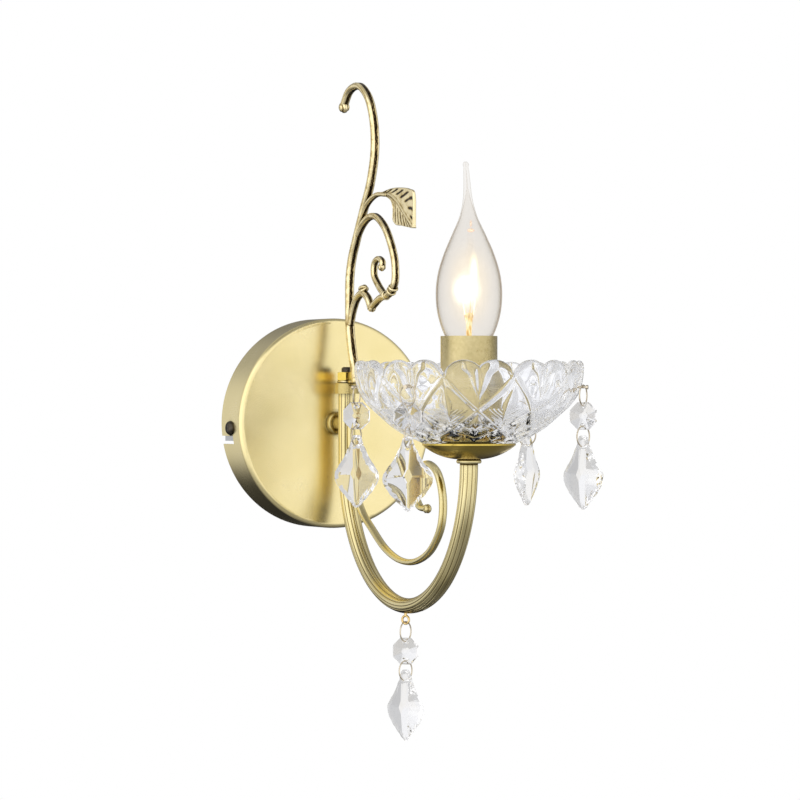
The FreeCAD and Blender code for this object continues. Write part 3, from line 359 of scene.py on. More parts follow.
def cut_glass():
    return clear_glass("cut_glass", (0.93, 0.935, 0.955), 0.03, (90.0, 2.0), 0.00006, 0.35)[0]


def crystal():
    """Faceted crystal: each facet is a little lighter or greyer, with a faint cool or warm cast."""
    material, shader = clear_glass("crystal", (0.9, 0.9, 0.9), 0.0, (70.0, 1.0), 0.00003, 0.2)
    tones = [(0.0, (0.78, 0.785, 0.81)), (0.4, (0.83, 0.83, 0.84)), (0.7, (0.86, 0.855, 0.85)),
             (1.0, (0.86, 0.83, 0.79))]
    put(shader, "Base Color", colour_ramp(attribute_of(shader, "facet"), tones))
    return material


def lamp_glass():
    """Thin blown glass, faintly smoky; darker and warmer towards its outline, partly the longer way through
    the wall and partly painted shade and golden reflection along its edges.
    """
    material, tree = bare_material("lamp_glass")
    facing = shader_node(tree, "LayerWeight", {"Blend": 0.5}).outputs["Facing"]
    # Painted shade and reflection at the outline: the tint turns dark and golden where the glass is seen
    # edge-on.
    tint = colour_ramp(facing, [(0.0, (0.955, 0.945, 0.932)), (0.5, (0.952, 0.940, 0.923)),
                                (0.74, (0.93, 0.905, 0.87)), (0.90, (0.80, 0.72, 0.61)),
                                (1.0, (0.48, 0.36, 0.20))])
    gloss = shader_node(tree, "BsdfGlossy", {"Roughness": 0.02})
    place = shader_node(tree, "TexCoord").outputs["Object"]
    add_bump(gloss, noise_of(place, 60.0, 2.0), 0.00004, 0.3)
    clear = shader_node(tree, "BsdfTransparent", {"Color": tint})
    show_mix(tree, soft_step(facing, 0.3, 1.0, 0.015, 0.25), clear, gloss)
    return material


def filament():
    color = (1.0, 0.80, 0.50)
    material, shader, place = finish_of("filament", color, 0.0, 0.4)
    put(shader, "Emission Color", (*color, 1))
    put(shader, "Emission Strength", 2.2)
    add_bump(shader, noise_of(place, 2000.0), 0.00002)
    return material


def lit_glass():
    """The lamp's inner glass mount, full of golden light in fine upright streaks."""
    material, shader, place = finish_of("lit_glass", (0.5, 0.35, 0.15), 0.0, 0.2)
    streaks = noise_of(place, 900.0, 3.0, 0.6, (1.0, 1.0, 0.22))
    glow_tones = [(0.36, (0.30, 0.14, 0.02)), (0.48, (0.92, 0.60, 0.18)), (0.56, (1.0, 0.86, 0.52)),
                  (0.64, (1.0, 1.0, 0.92))]
    put(shader, "Emission Color", colour_ramp(streaks, glow_tones))
    put(shader, "Emission Strength", 0.9)
    add_bump(shader, streaks, 0.0001)
    return material


def make_materials():
    made = {name: metal(name, *look) for name, look in METALS.items()}
    made.update({name: moulded(name, *look) for name, look in MOULDED.items()})
    makers = (antique_brass, reeded_gold, cut_glass, crystal, lamp_glass, lit_glass, filament)
    made.update({make.__name__: make() for make in makers})
    return made


# ---- mesh helpers ----
def closed_mesh(name, points, faces):
    """A mesh from millimetre points, its faces turned outwards."""
    mesh = bpy.data.meshes.new(name)
    mesh.from_pydata([[c * MM for c in p] for p in points], [], faces)
    work = bmesh.new()
    work.from_mesh(mesh)
    bmesh.ops.recalc_face_normals(work, faces=work.faces)
    work.to_mesh(mesh)
    work.free()
    return mesh


def mesh_piece(name, points, faces, material, body, slot, *replaced):
    """A piece from millimetre points; it rides on a body and stands for CAD nodes."""
    mesh = closed_mesh(name, points, faces)
    mesh.materials.append(material)
    mesh.shade_smooth()
    piece = new_object(name, mesh)
    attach(piece, body)
    if replaced:
        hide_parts(*replaced)
    return piece


def circle(count):
    """Cosine and sine of evenly spaced turns."""
    return [(math.cos(2 * math.pi * k / count), math.sin(2 * math.pi * k / count)) for k in range(count)]


def ring_faces(rings, around, closed_rings=False):
    """Quads between rings of points, one after the other."""
    faces = []
    for i in range(rings if closed_rings else rings - 1):
        a, b = i * around, (i + 1) % rings * around
        for j in range(around):
            k = (j + 1) % around
            faces.append((a + j, a + k, b + k, b + j))
    return faces


def tube_faces(rings, around, start=0):
    """Quads between rings of points from a start, and a face over each end."""
    last = (rings - 1) * around
    faces = ring_faces(rings, around) + [tuple(range(around)), tuple(range(last, last + around))]
    return [tuple(start + i for i in face) for face in faces]


# ---- cut glass bowl ----
BOWL_BASE, BOWL_TOP, BOWL_FLOOR, BOWL_WALL, BOWL_HOLE = -9.6, 34.0, -5.0, 4.4, 4.25
LOBES, LOBE_AZIMUTH = 10, -22.0
HALF_LOBE = math.pi / LOBES
PETAL_RADIUS, PETAL_SHIFT = 11.2, 1.2
LIP, LIP_OUT, LIP_IN = 3.6, 2.0, 1.6
# Heights and radii of the wall's two sides; heights and half widths of the pair of flutes.
OUTSIDE = (-9.6, -7.3, -2.5, 5.4, 10.0, 15.4, 21.0, 34.0), (24.5, 30.0, 38.5, 48.0, 53.0, 57.2, 59.3, 61.0)
INSIDE = (-5.0, 0.9, 9.8, 17.4, 25.3, 34.0), (23.0, 36.6, 49.0, 53.9, 55.3, 56.6)
FLUTES = (13.7, 16.7, 22.0, 26.7, 29.2), (0.0, 1.6, 4.1, 6.4, 9.4)
# The diagonals' height over the base falls by one share for each half lobe.
DIAGONAL_RISE, DIAGONAL_SHARE, DIAGONAL_BASE = 38.0, 0.505, 12.2


def smooth_curve(xs, ys, x):
    """Smooth curve through points, at the places x."""
    xs, ys = np.asarray(xs, float), np.asarray(ys, float)
    slope = np.gradient(ys, xs)
    i = np.clip(np.searchsorted(xs, x) - 1, 0, len(xs) - 2)
    h = xs[i + 1] - xs[i]
    t = np.clip((x - xs[i]) / h, 0, 1)
    return ((2 * t ** 3 - 3 * t ** 2 + 1) * ys[i] + (t ** 3 - 2 * t ** 2 + t) * h * slope[i]
            + (3 * t ** 2 - 2 * t ** 3) * ys[i + 1] + (t ** 3 - t ** 2) * h * slope[i + 1])


def bowl_radius(z):
    return smooth_curve(*OUTSIDE, z)


def bowl_slope(z, step):
    return (bowl_radius(z + step) - bowl_radius(z - step)) / (2 * step)


def bowl_rim(turn):
    """Height of the scalloped rim at an angle from a lobe's centre, in radians."""
    petal = math.radians(90 / LOBES - PETAL_SHIFT)
    across = 59.0 * np.sin(np.abs(turn) - petal)
    return BOWL_TOP - PETAL_RADIUS + np.sqrt(np.maximum(PETAL_RADIUS ** 2 - across ** 2, 0))


def groove(distance, half_width, depth):
    """V cut by distance from its middle line."""
    return depth * np.clip(1 - np.abs(distance) / half_width, 0, 1)


def stripes(value, pitch):
    """Distance from the nearest of a row of lines."""
    return np.abs((value / pitch) % 1.0 - 0.5) * pitch


def scoop(x, y, half_x, half_y, depth):
    """Hollow, round in section, with pointed ends above and below."""
    side = half_x * np.clip(1 - np.abs(y / half_y) ** 1.3, 0, 1) + 1e-6
    return depth * np.clip(1 - (x / side) ** 2, 0, 1) * np.clip(side / half_x, 0, 1) ** 0.6


def bowl_cuts(turn, z):
    """Depth of the cutting at an angle from a lobe's centre and a height."""
    radius = bowl_radius(z)
    x = np.abs(turn) * radius
    u = np.abs(turn) / HALF_LOBE
    edge = (1 - u) * HALF_LOBE * radius
    steep = 1.0 / np.sqrt(1 + bowl_slope(z, 0.4) ** 2)
    cut = np.zeros_like(z)

    # Diagonals from the deep notches: they cross under the lobe's centre, then under its edges.
    for w in (1 - u, 1 + u, 3 - u):
        line = DIAGONAL_RISE * DIAGONAL_SHARE ** w
        slant = -math.log(DIAGONAL_SHARE) * line / (HALF_LOBE * radius)
        away = (z - line + DIAGONAL_BASE) / np.sqrt(steep ** 2 + slant ** 2)
        cut = np.maximum(cut, groove(away, 1.5, 1.35))

    # Two flutes under the petals, from the lip down to one point, with a ridge between.
    foot, top = FLUTES[0][0], FLUTES[0][-1]
    wide = smooth_curve(*FLUTES, np.clip(z, foot, top))
    middle = wide * 0.5 + 0.1
    flute = np.clip(1 - ((x - middle) / (wide * 0.5 + 0.05)) ** 2, 0, 1) * np.clip(wide / 3.0, 0, 1) * 2.1
    cut = np.maximum(cut, np.where((z > foot) & (x < wide), flute, 0))
    cut = np.maximum(cut, np.where(z > 13.0, groove(x, 0.45, 0.9), 0))

    # A fan of fine cuts round the flutes' point.
    fall = (13.4 - z) / steep
    reach = np.hypot(fall, x)
    angle = np.arctan2(x, fall)
    ray = stripes(angle + 0.15, 0.30) * reach
    fan = groove(ray, 0.42, 0.45) * np.clip((7.0 - reach) / 3.0, 0, 1) * np.clip(reach / 0.8, 0, 1)
    cut = np.maximum(cut, np.where(angle < 1.75, fan, 0))

    # The tall diamonds between lobes: a long tongue with short slanted cuts beside its foot.
    cut = np.maximum(cut, scoop(edge, z - 11.0, 3.6, 9.0, 1.5))
    beside = (edge > 1.2) & (z < 8.5) & (z > -0.5) & (edge < 1.2 + (z + 2.0) * 0.95)
    slats = stripes(z / steep * 0.75 - edge * 0.65, 1.5)
    cut = np.maximum(cut, np.where(beside, groove(slats, 0.5, 0.55), 0))

    # The small diamonds under the crossings, and a row of pointed scallops over the foot.
    cut = np.maximum(cut, scoop(x, z - 0.2, 3.4, 5.4, 1.0))
    under = (x > 3.0) & (x < 7.0) & (z < -1.0) & (z > -6.5)
    slats = stripes(z / steep * 0.7 + x * 0.7, 1.4)
    cut = np.maximum(cut, np.where(under, groove(slats, 0.45, 0.45), 0))
    scallops = z + 6.6 + 1.2 * np.cos(turn * 2 * LOBES)
    return np.maximum(cut, groove(scallops / steep, 0.8, 0.6))


def cut_bowl():
    """The bowl from its foot up the cut outside, over the lip and down the smooth inside to the hole."""
    columns = LOBES * 64
    turn = np.arange(columns) / columns * 2 * math.pi
    lobe = (turn + HALF_LOBE) % (2 * HALF_LOBE) - HALF_LOBE
    rim = bowl_rim(lobe)
    loops = []

    def loop(radius, z):
        loops.append((radius * np.ones(columns), z * np.ones(columns)))

    rows = 130
    for i in range(rows + 1):
        share = (i / rows) ** 1.15
        z = BOWL_BASE + (rim - LIP - BOWL_BASE) * share
        slope = bowl_slope(z, 0.2)
        size = np.hypot(1, slope)
        depth = bowl_cuts(lobe, z) * min(1.0, i / 3)
        loop(bowl_radius(z) - depth / size, z + depth * slope / size)
    outer_top = bowl_radius(rim - LIP)
    sunk = outer_top - loops[-1][0]
    for k in range(1, 11):
        angle = math.pi / 2 * k / 10
        radius = outer_top - LIP_OUT * (1 - math.cos(angle)) - sunk * (1 - k / 10)
        loop(radius, rim - LIP * (1 - math.sin(angle)))
    inner_top = outer_top - BOWL_WALL
    for k in range(8):
        angle = math.pi / 2 * k / 8
        loop(inner_top + LIP_IN * (1 - math.sin(angle)), rim - LIP * (1 - math.cos(angle)))
    for i in range(26):
        share = i / 25
        z = (rim - LIP) * (1 - share) + BOWL_FLOOR * share
        ripple = 0.5 * np.cos(lobe * 2 * LOBES) * (1 - share) * min(1, share * 5)
        loop(np.minimum(smooth_curve(*INSIDE, z), inner_top) + ripple, z)
    for radius in (18.0, 12.0, BOWL_HOLE):
        loop(radius, BOWL_FLOOR)
    for radius in (BOWL_HOLE, 12.0, 20.0, 23.6):
        loop(radius, BOWL_BASE)
    azimuth = turn + math.radians(LOBE_AZIMUTH)
    points = []
    for radius, z in loops:
        xs, ys = radius * np.sin(azimuth), CANDLE_Y - radius * np.cos(azimuth)
        points += list(zip(xs.tolist(), ys.tolist(), z.tolist()))
    mesh_piece("cut_bowl", points, ring_faces(len(loops), columns, True), materials["cut_glass"],
               "root", "cut_glass", "bobeche_glass")


# ---- cast scroll ----
# Centrelines of the limbs and edges of the leaf, as (y, z) in the arm's plane.
STEM = [(-53, 23.8), (-51.6, 30), (-47.6, 41.5), (-45, 53), (-44.3, 68), (-45, 84), (-48, 94),
        (-53, 103), (-63, 120), (-72.5, 136), (-77.7, 156), (-75.8, 170), (-69, 183),
        (-57, 190.3), (-43.5, 188), (-36.5, 180.5)]
LOOP = [(-55.5, 106.5), (-62, 112), (-69, 115.3), (-77, 116), (-88, 111), (-98, 100),
        (-103.6, 87), (-103, 78), (-97, 72.5), (-84, 69.8), (-73.5, 65)]
LOW_BRANCH = [(-45.5, 56), (-49, 64), (-55, 71), (-61.5, 73.5), (-68.5, 70.5), (-73, 64.5)]
CURL = [(-90.5, 71.5), (-82.5, 77), (-76.5, 84), (-77.7, 90), (-83, 92), (-87.5, 89.5), (-86.5, 86.8)]
LEAF_STEM = [(-59.5, 115), (-68, 123.2), (-79, 127.5), (-94, 127)]
LEAF_RIB = [(-88, 127.8), (-98, 126.6), (-106, 123.2), (-112, 118.8), (-118, 114.0), (-123.4, 109.8),
            (-126.8, 107.2)]
LEAF_UPPER = [(-88, 128.7), (-100, 130.2), (-112, 130.0), (-122, 128.6), (-126.9, 127.0), (-127.8, 124.0),
              (-127.7, 116), (-127.0, 107.0)]
LEAF_LOWER = [(-88, 127.0), (-95, 125.4), (-100.2, 122.8), (-102.0, 119.5), (-102.2, 111.6), (-103.6, 110.6),
              (-113, 108.9), (-126.4, 107.0)]


def along(points, steps):
    """Smooth curve through points, as evenly spaced rows."""
    points = np.array(points, float)
    gaps = np.hypot(*np.diff(points[:, :2], axis=0).T)
    at = np.concatenate([[0], np.cumsum(gaps)])
    fine = np.linspace(0, at[-1], steps)
    return np.stack([smooth_curve(at, column, fine) for column in points.T], 1)


def leads_of(rows):
    """Unit direction of a line at each of its points."""
    lead = np.gradient(rows, axis=0)
    return lead / np.hypot(*lead.T)[:, None]


class Casting:
    """Collects limbs as one mesh with a value at each point, 0 dark and 1 bright: on the cast brass 1 is
    rubbed bright and low values are patina; on the reeded arm low values are painted shade in the lines
    between the reeds.
    """
    def __init__(self):
        self.points, self.faces, self.wear_and_shade = [], [], []

    def add(self, points, faces, wear_and_shade):
        start = len(self.points)
        self.points += [tuple(map(float, p)) for p in points]
        self.faces += [tuple(start + i for i in face) for face in faces]
        self.wear_and_shade += [float(w) for w in wear_and_shade]

    def limb(self, points, across, thick, taper):
        """Cast rod in the arm's plane: smooth sides, and a sunk rough channel along its two edges."""
        length = sum(math.dist(a, b) for a, b in zip(points, points[1:]))
        rows = along(points, max(8, int(length / 0.7)))
        placed, wear_and_shade = [], []
        for i, ((y, z), (dy, dz)) in enumerate(zip(rows, leads_of(rows))):
            share = i / (len(rows) - 1)
            size = taper[0] * (1 - share) + taper[1] * share
            for k, (side, out) in enumerate(circle(40)):
                channel = min(1.0, max(0.0, abs(out) - 0.90) / 0.05)
                beat = math.sin(i * 1.3 + 2 * math.sin(i * 0.37)) * math.sin(k * 1.4 + i * 0.5)
                scale = size * (1 - 0.13 * channel * (1 + 0.5 * beat))
                x, n = across / 2 * side * size, thick / 2 * out * scale
                placed.append((x, y - dz * n, z + dy * n))
                lip = math.exp(-((abs(out) - 0.84) / 0.05) ** 2)
                crease = math.exp(-((abs(out) - 0.30) / 0.10) ** 2)
                wear_and_shade.append(0.78 + 0.25 * lip - 0.30 * crease - channel * (0.62 - 0.30 * beat))
        self.add(placed, tube_faces(len(rows), 40), wear_and_shade)

    def knob(self, y, z, radius, curl=1.0):
        """End of a limb: a ball with a curled cut across each side, or a plain band when curl is 0."""
        rows, around = 17, 32
        placed, wear_and_shade = [], []
        for i in range(rows):
            polar = math.pi * (i + 0.001) / (rows - 1 + 0.002)
            for k in range(around):
                turn = 2 * math.pi * k / around
                spiral = abs(((turn * curl / (2 * math.pi) + polar / 1.15) % 1.0) - 0.5)
                cut = max(0.0, 1 - spiral / 0.18)
                reach = radius * (1 - 0.20 * cut)
                placed.append((reach * math.cos(polar) * 0.94, y + reach * math.sin(polar) * math.cos(turn),
                               z + reach * math.sin(polar) * math.sin(turn)))
                wear_and_shade.append(0.85 - 0.75 * cut)
        self.add(placed, tube_faces(rows, around), wear_and_shade)

    def bud(self, y, z, lean, length, radius):
        """Small bud with five ribs, lying on a limb."""
        rows, around = 15, 40
        placed, wear_and_shade = [], []
        cos_lean, sin_lean = math.cos(lean), math.sin(lean)
        for i in range(rows):
            share = i / (rows - 1)
            size = radius * max(0.05, math.sin(math.pi * share)) ** 0.7
            for k in range(around):
                turn = 2 * math.pi * k / around
                rib = abs(math.cos(turn * 5 / 2))
                reach = size * (0.80 + 0.20 * rib)
                a, b = (share - 0.5) * length, reach * math.sin(turn)
                placed.append((reach * math.cos(turn), y + a * cos_lean - b * sin_lean,
                               z + a * sin_lean + b * cos_lean))
                wear_and_shade.append(0.15 + 0.75 * rib)
        self.add(placed, tube_faces(rows, around), wear_and_shade)

    def band(self, y, z, lean, radius, half):
        """Raised ring round a limb."""
        placed = []
        for cos, sin in circle(32):
            for bulge, rise in circle(10):
                reach, a = radius + half * bulge * 0.8, half * rise
                b = reach * sin
                placed.append((reach * cos, y + a * math.cos(lean) - b * math.sin(lean),
                               z + a * math.sin(lean) + b * math.cos(lean)))
        self.add(placed, ring_faces(32, 10, True), [0.8] * len(placed))

    def leaf(self):
        """Leaf with a raised border and rib; slanted veins, fat above the rib and fine below it."""
        long, half = 90, 36
        rib, upper, lower = [along(points, long) for points in (LEAF_RIB, LEAF_UPPER, LEAF_LOWER)]
        placed, wear_and_shade = [], []
        for face in (-1, 1):
            for i in range(long):
                s = i / (long - 1)
                for j in range(-half, half + 1):
                    t = j / half
                    edge = upper[i] if t > 0 else lower[i]
                    y, z = rib[i] + (edge - rib[i]) * abs(t)
                    wide = math.dist(rib[i], edge)
                    veins, width, first, last = (8.5, 0.26, 0.30, 0.90) if t > 0 else (12.0, 0.20, 0.16, 0.95)
                    phase = ((s - 0.20 * abs(t)) * veins) % 1.0
                    vein = max(0.0, 1 - abs(phase - 0.5) / width)
                    fade = min(1.0, max(0.0, (abs(t) - first) / 0.12))
                    fade *= min(1.0, max(0.0, (last - abs(t)) / 0.08)) * min(1.0, wide / 3.0)
                    ridge = math.exp(-(abs(t) * wide / 0.55) ** 2)
                    border = math.exp(-((1 - abs(t)) * wide / 0.6) ** 2)
                    high = 0.72 + 0.45 * ridge + 0.28 * border + 0.15 * t ** 2 - 0.42 * vein * fade
                    high *= 1 - 0.55 * max(0.0, (abs(t) - 0.96) / 0.04)
                    placed.append((face * min(high, 1.38), y, z))
                    beside = math.exp(-((abs(t) * wide - 1.1) / 0.4) ** 2)
                    wear_and_shade.append(0.84 + 0.2 * ridge + 0.2 * border - 0.95 * vein * fade - 0.35 * beside)
        wide = 2 * half + 1
        faces, count = [], long * wide
        for i in range(long - 1):
            for j in range(wide - 1):
                a = i * wide + j
                faces.append((a, a + 1, a + wide + 1, a + wide))
                faces.append((count + a, count + a + wide, count + a + wide + 1, count + a + 1))
        rim = list(range(wide)) + [i * wide + wide - 1 for i in range(1, long)]
        rim += [(long - 1) * wide + j for j in range(wide - 2, -1, -1)]
        rim += [i * wide for i in range(long - 2, 0, -1)]
        for a, b in zip(rim, rim[1:] + rim[:1]):
            faces.append((a, b, count + b, count + a))
        self.add(placed, faces, wear_and_shade)

    def sweep(self, line, section, wear_and_shade):
        """A section of (x, normal) points carried along a line in the arm's plane, with closed ends."""
        rows = np.array(line, float)
        placed = [(x, y - dz * n, z + dy * n)
                  for (y, z), (dy, dz) in zip(rows, leads_of(rows)) for x, n in section]
        self.add(placed, tube_faces(len(rows), len(section)), list(wear_and_shade) * len(rows))

    def turned(self, y, outline, wear_and_shade=0.65):
        """Closed ring turned about the upright axis at y, from (radius, z) points."""
        placed = [(r * cos, y + r * sin, z) for cos, sin in circle(40) for r, z in outline]
        self.add(placed, ring_faces(40, len(outline), True), [wear_and_shade] * len(placed))

    def piece(self, name, look, slot, replaced):
        made = mesh_piece(name, self.points, self.faces, materials[look], "root", slot, replaced)
        made.data.attributes.new("wear_and_shade", "FLOAT", "POINT").data.foreach_set("value", self.wear_and_shade)


def cast_scroll():
    """The scroll's limbs, ends, bud, bands and leaf, then its eye, tab and foot over the leg."""
    cast = Casting()
    cast.limb(STEM, 5.4, 4.6, (1.0, 0.92))
    cast.limb(LOOP, 4.8, 4.2, (0.95, 0.9))
    cast.limb(LOW_BRANCH, 4.8, 4.2, (0.95, 0.95))
    cast.limb(CURL, 4.2, 3.6, (1.0, 0.9))
    cast.limb(LEAF_STEM, 3.8, 3.2, (1.0, 0.8))
    cast.knob(-36.9, 179.9, 3.3)
    cast.knob(-86.4, 87.2, 2.35)
    cast.knob(-73.6, 65.0, 2.6, 0.0)
    cast.bud(-62.5, 75.4, -0.25, 9.5, 2.9)
    cast.band(-100.9, 75.2, -0.85, 2.35, 0.75)
    cast.band(-98.6, 73.5, -0.5, 2.35, 0.75)
    cast.band(-92.0, 71.3, -0.1, 2.25, 0.6)
    cast.leaf()
    eye, foot_y = 23.0, -53.0
    cast.turned(LEG_Y, [(3.1, eye + 0.05), (5.3, eye), (5.5, eye + 0.3), (5.5, eye + 1.0), (5.3, eye + 1.3),
                        (3.1, eye + 1.25)])
    tab = [(x, y, z) for x in (-2.6, 2.6)
           for y, z in ((foot_y, eye), (-44.5, eye), (-44.5, eye + 1.3), (foot_y, eye + 1.3))]
    cast.add(tab, tube_faces(2, 4), [0.6] * 8)
    cast.turned(foot_y, [(0.01, eye), (2.5, eye), (2.7, eye + 0.2), (2.7, eye + 2.6), (2.2, eye + 3.2),
                         (0.01, eye + 3.3)])
    cast.piece("cast_scroll", "antique_brass", "antique_brass", "scroll_casting")


# ---- reeded arm and volute rod ----
def arm_line():
    """The arm's centreline: a straight leg, then a U of three arcs, tighter below."""
    half, lean = ARM_REACH / 2, math.sqrt(0.5)
    side = (lean * ARM_DROP - (1 - lean) * half) / (2 * lean - 1)
    low = (lean * half - (1 - lean) * ARM_DROP) / (2 * lean - 1)
    line = [(LEG_Y, z) for z in np.linspace(LEG_TOP, ARM_END_Z, 30)]
    for y, z, radius, start, end in ((LEG_Y - side, ARM_END_Z, side, 0, -45),
                                     (LEG_Y - half, ARM_END_Z - ARM_DROP + low, low, -45, -135),
                                     (CANDLE_Y + side, ARM_END_Z, side, -135, -180)):
        for turn in np.radians(np.linspace(start, end, int(abs(end - start) * radius / 75)))[1:]:
            line.append((y + radius * math.cos(turn), z + radius * math.sin(turn)))
    return line


def reeded_arm():
    """Tube with twelve rounded reeds, with painted shade in the narrow lines between them."""
    cast, section, wear_and_shade = Casting(), [], []
    reeds, per = 12, 10
    for k in range(reeds * per):
        turn = 2 * math.pi * k / (reeds * per)
        off = abs(k % per / per - 0.5) * 2
        sunk = 0.02 * off ** 2 + 0.40 * max(0.0, (off - 0.76) / 0.24)
        section.append(((5.0 - sunk) * math.cos(turn), (4.2 - sunk) * math.sin(turn)))
        # Painted shade: the value falls towards the groove between two reeds.
        wear_and_shade.append(1.0 - max(0.0, (off - 0.70) / 0.30) ** 1.5)
    cast.sweep(arm_line(), section, wear_and_shade)
    cast.piece("reeded_arm", "reeded_gold", "champagne_gold", "arm_tube")


VOLUTE = [(-46.9, 9), (-46.4, -4), (-47.5, -22), (-52, -38), (-61, -49.5), (-75, -59.5),
          (-92, -69.5), (-112, -75), (-132, -74), (-150, -66), (-160.5, -53), (-161.8, -39),
          (-155, -25.5), (-143, -21), (-131, -26.5), (-128.5, -37), (-134, -44.5), (-143, -45.5)]


def plain_volute():
    """Drawn rod with a faint flat on each side, a ball at its end and a ferrule at its root."""
    cast = Casting()
    section = [(2.4 * cos * (1 - 0.05 * cos ** 8), 1.7 * sin) for cos, sin in circle(40)]
    cast.sweep(along(VOLUTE, 420), section, [1.0] * 40)
    cast.knob(-143, -45.5, 2.6, 0.0)
    cast.turned(VOLUTE[0][0], [(0.01, 10.2), (2.2, 10.2), (2.7, 9.7), (2.7, 8.9), (2.5, 8.6), (2.5, 5.0),
                               (2.7, 4.7), (2.7, 3.7), (0.01, 3.7)], 1.0)
    cast.piece("plain_volute", "reeded_gold", "champagne_gold", "volute_rod")


# ---- crystal strings ----
# Facings of each string's upper ring, bead, lower ring and drop, in degrees from -Y towards +X.
FACES = {"front_left": (20, -12, -44, -26), "front_right": (-50, -48, -66, -68),
         "back_right": (32, 22, 34, 32), "back_left": (-45, -44, -52, -53), "bottom": (-59, -46, -66, -68)}


UP = Vector((0, 0, 1))


def directions(azimuth):
    """Unit vectors across and along a horizontal facing, in degrees from -Y towards +X."""
    turn = math.radians(azimuth)
    face = Vector((math.sin(turn), -math.cos(turn), 0))
    return UP.cross(face), face


def cut_stone(name, points, faces, planes, centre, azimuth):
    """Stone in millimetres across, up and deep, cut on both faces by planes and turned into its place.

    A plane is a point on it, then its slope across and up.
    """
    mesh = bpy.data.meshes.new(name)
    mesh.from_pydata(points, [], faces)
    work = bmesh.new()
    work.from_mesh(mesh)
    for side in (1, -1):
        for (w, h, d), (slope_w, slope_h) in planes:
            cut = bmesh.ops.bisect_plane(work, geom=work.verts[:] + work.edges[:] + work.faces[:], dist=1e-5,
                                         plane_co=(w, h, d * side), plane_no=(slope_w, slope_h, side),
                                         clear_outer=True)
            edges = [item for item in cut["geom_cut"] if isinstance(item, bmesh.types.BMEdge)]
            if edges:
                bmesh.ops.edgeloop_fill(work, edges=edges)
    bmesh.ops.remove_doubles(work, verts=work.verts, dist=1e-4)
    bmesh.ops.recalc_face_normals(work, faces=work.faces)
    work.to_mesh(mesh)
    work.free()
    across, face = directions(azimuth)
    place = Matrix((across, (0, 0, 1), face)).transposed().to_4x4()
    place.translation = centre
    mesh.transform(Matrix.Scale(MM, 4) @ place)
    return mesh


def hole_cutter(centre, azimuth, deep):
    """Closed round bar along a facing, wider at its ends, as points and faces."""
    across, face = directions(azimuth)
    points = [centre + face * (deep * depth) + (across * cos + UP * sin) * (HOLE_RADIUS * size)
              for depth, size in ((-1, 1.9), (-0.35, 1), (0.35, 1), (1, 1.9)) for cos, sin in circle(20)]
    return points, tube_faces(4, 20)


def drilled_stone(name, mesh, cutters, body, node):
    """Cut stone with holes, flat facets and a faint tone of its own on each facet."""
    piece = new_object(name, mesh)
    tools = []
    for cutter in cutters:
        tool = new_object("tool", closed_mesh("tool", *cutter))
        modifier = piece.modifiers.new("hole", "BOOLEAN")
        modifier.object = tool
        modifier.operation = "DIFFERENCE"
        modifier.solver = "EXACT"
        tools.append(tool)
    bpy.context.view_layer.update()
    graph = bpy.context.evaluated_depsgraph_get()
    made = bpy.data.meshes.new_from_object(piece.evaluated_get(graph))
    piece.modifiers.clear()
    piece.data = made
    for tool in tools:
        bpy.data.objects.remove(tool)
    made.name = name
    made.materials.clear()
    made.materials.append(materials["crystal"])
    made.shade_flat()
    tone = made.attributes.new("facet", "FLOAT", "FACE")
    for polygon in made.polygons:
        turn = polygon.normal
        own = 0.5 + 0.5 * math.sin(7.1 * turn.x + 11.3 * turn.y + 5.7 * turn.z)
        tone.data[polygon.index].value = own if polygon.area > 7e-6 else 0.5 + 0.3 * (own - 0.5)
    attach(piece, body)
    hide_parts(node)


def middle_of(node):
    low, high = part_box(node)
    return (low + high) / 2 / MM


BEAD_HALF, BEAD_DEEP, HOLE_RADIUS = 7.2, 3.2, 0.95


def crystal_bead(name, azimuth):
    """Octagon bead: eight broad and eight narrow facets meet round a small table on each face."""
    centre = middle_of(name + "_bead")
    corner = BEAD_HALF / math.cos(math.pi / 8)
    turns = [math.pi * (2 * k + 1) / 8 for k in range(8)]
    points = [(corner * math.cos(turn), corner * math.sin(turn), deep)
              for deep in (-BEAD_DEEP, BEAD_DEEP) for turn in turns]
    planes = []
    for k in range(8):
        for step, start, height, slope in ((k, BEAD_HALF, 0.8, 0.95), (k, 1.1, 3.25, 0.36),
                                           (k + 0.5, 1.1, 3.25, 0.30)):
            cos, sin = math.cos(math.pi * step / 4), math.sin(math.pi * step / 4)
            planes.append(((start * cos, start * sin, height), (slope * cos, slope * sin)))
    mesh = cut_stone(name + "_cut_bead", points, tube_faces(2, 8), planes, centre, azimuth)
    holes = [hole_cutter(centre + UP * (side * 4.9), azimuth, 3.4) for side in (-1, 1)]
    drilled_stone(name + "_cut_bead", mesh, holes, name + "_link", name + "_bead")


# Half of the drop's wavy outline: (half width, distance below its top).
DROP_SIDE = [(1.4, 0.0), (2.5, 1.0), (3.1, 3.2), (3.9, 5.6), (5.2, 7.6), (5.9, 9.6), (7.3, 12.0), (8.6, 14.0),
             (10.0, 15.6), (11.2, 17.6), (12.5, 19.4), (13.0, 21.6), (12.8, 23.6), (11.7, 26.0), (10.3, 27.8),
             (9.0, 30.0), (7.0, 31.8), (5.6, 33.6), (3.6, 35.4), (2.2, 37.2), (0.4, 38.6)]
DROP_PEAK, DROP_DEEP, DROP_TABLE, DROP_EDGE = -20.5, 4.27, 3.85, 0.8
# A face's fall from its peak, per millimetre across, upwards and downwards.
FALL_ACROSS, FALL_UP, FALL_DOWN = 0.235, 0.10, 0.12


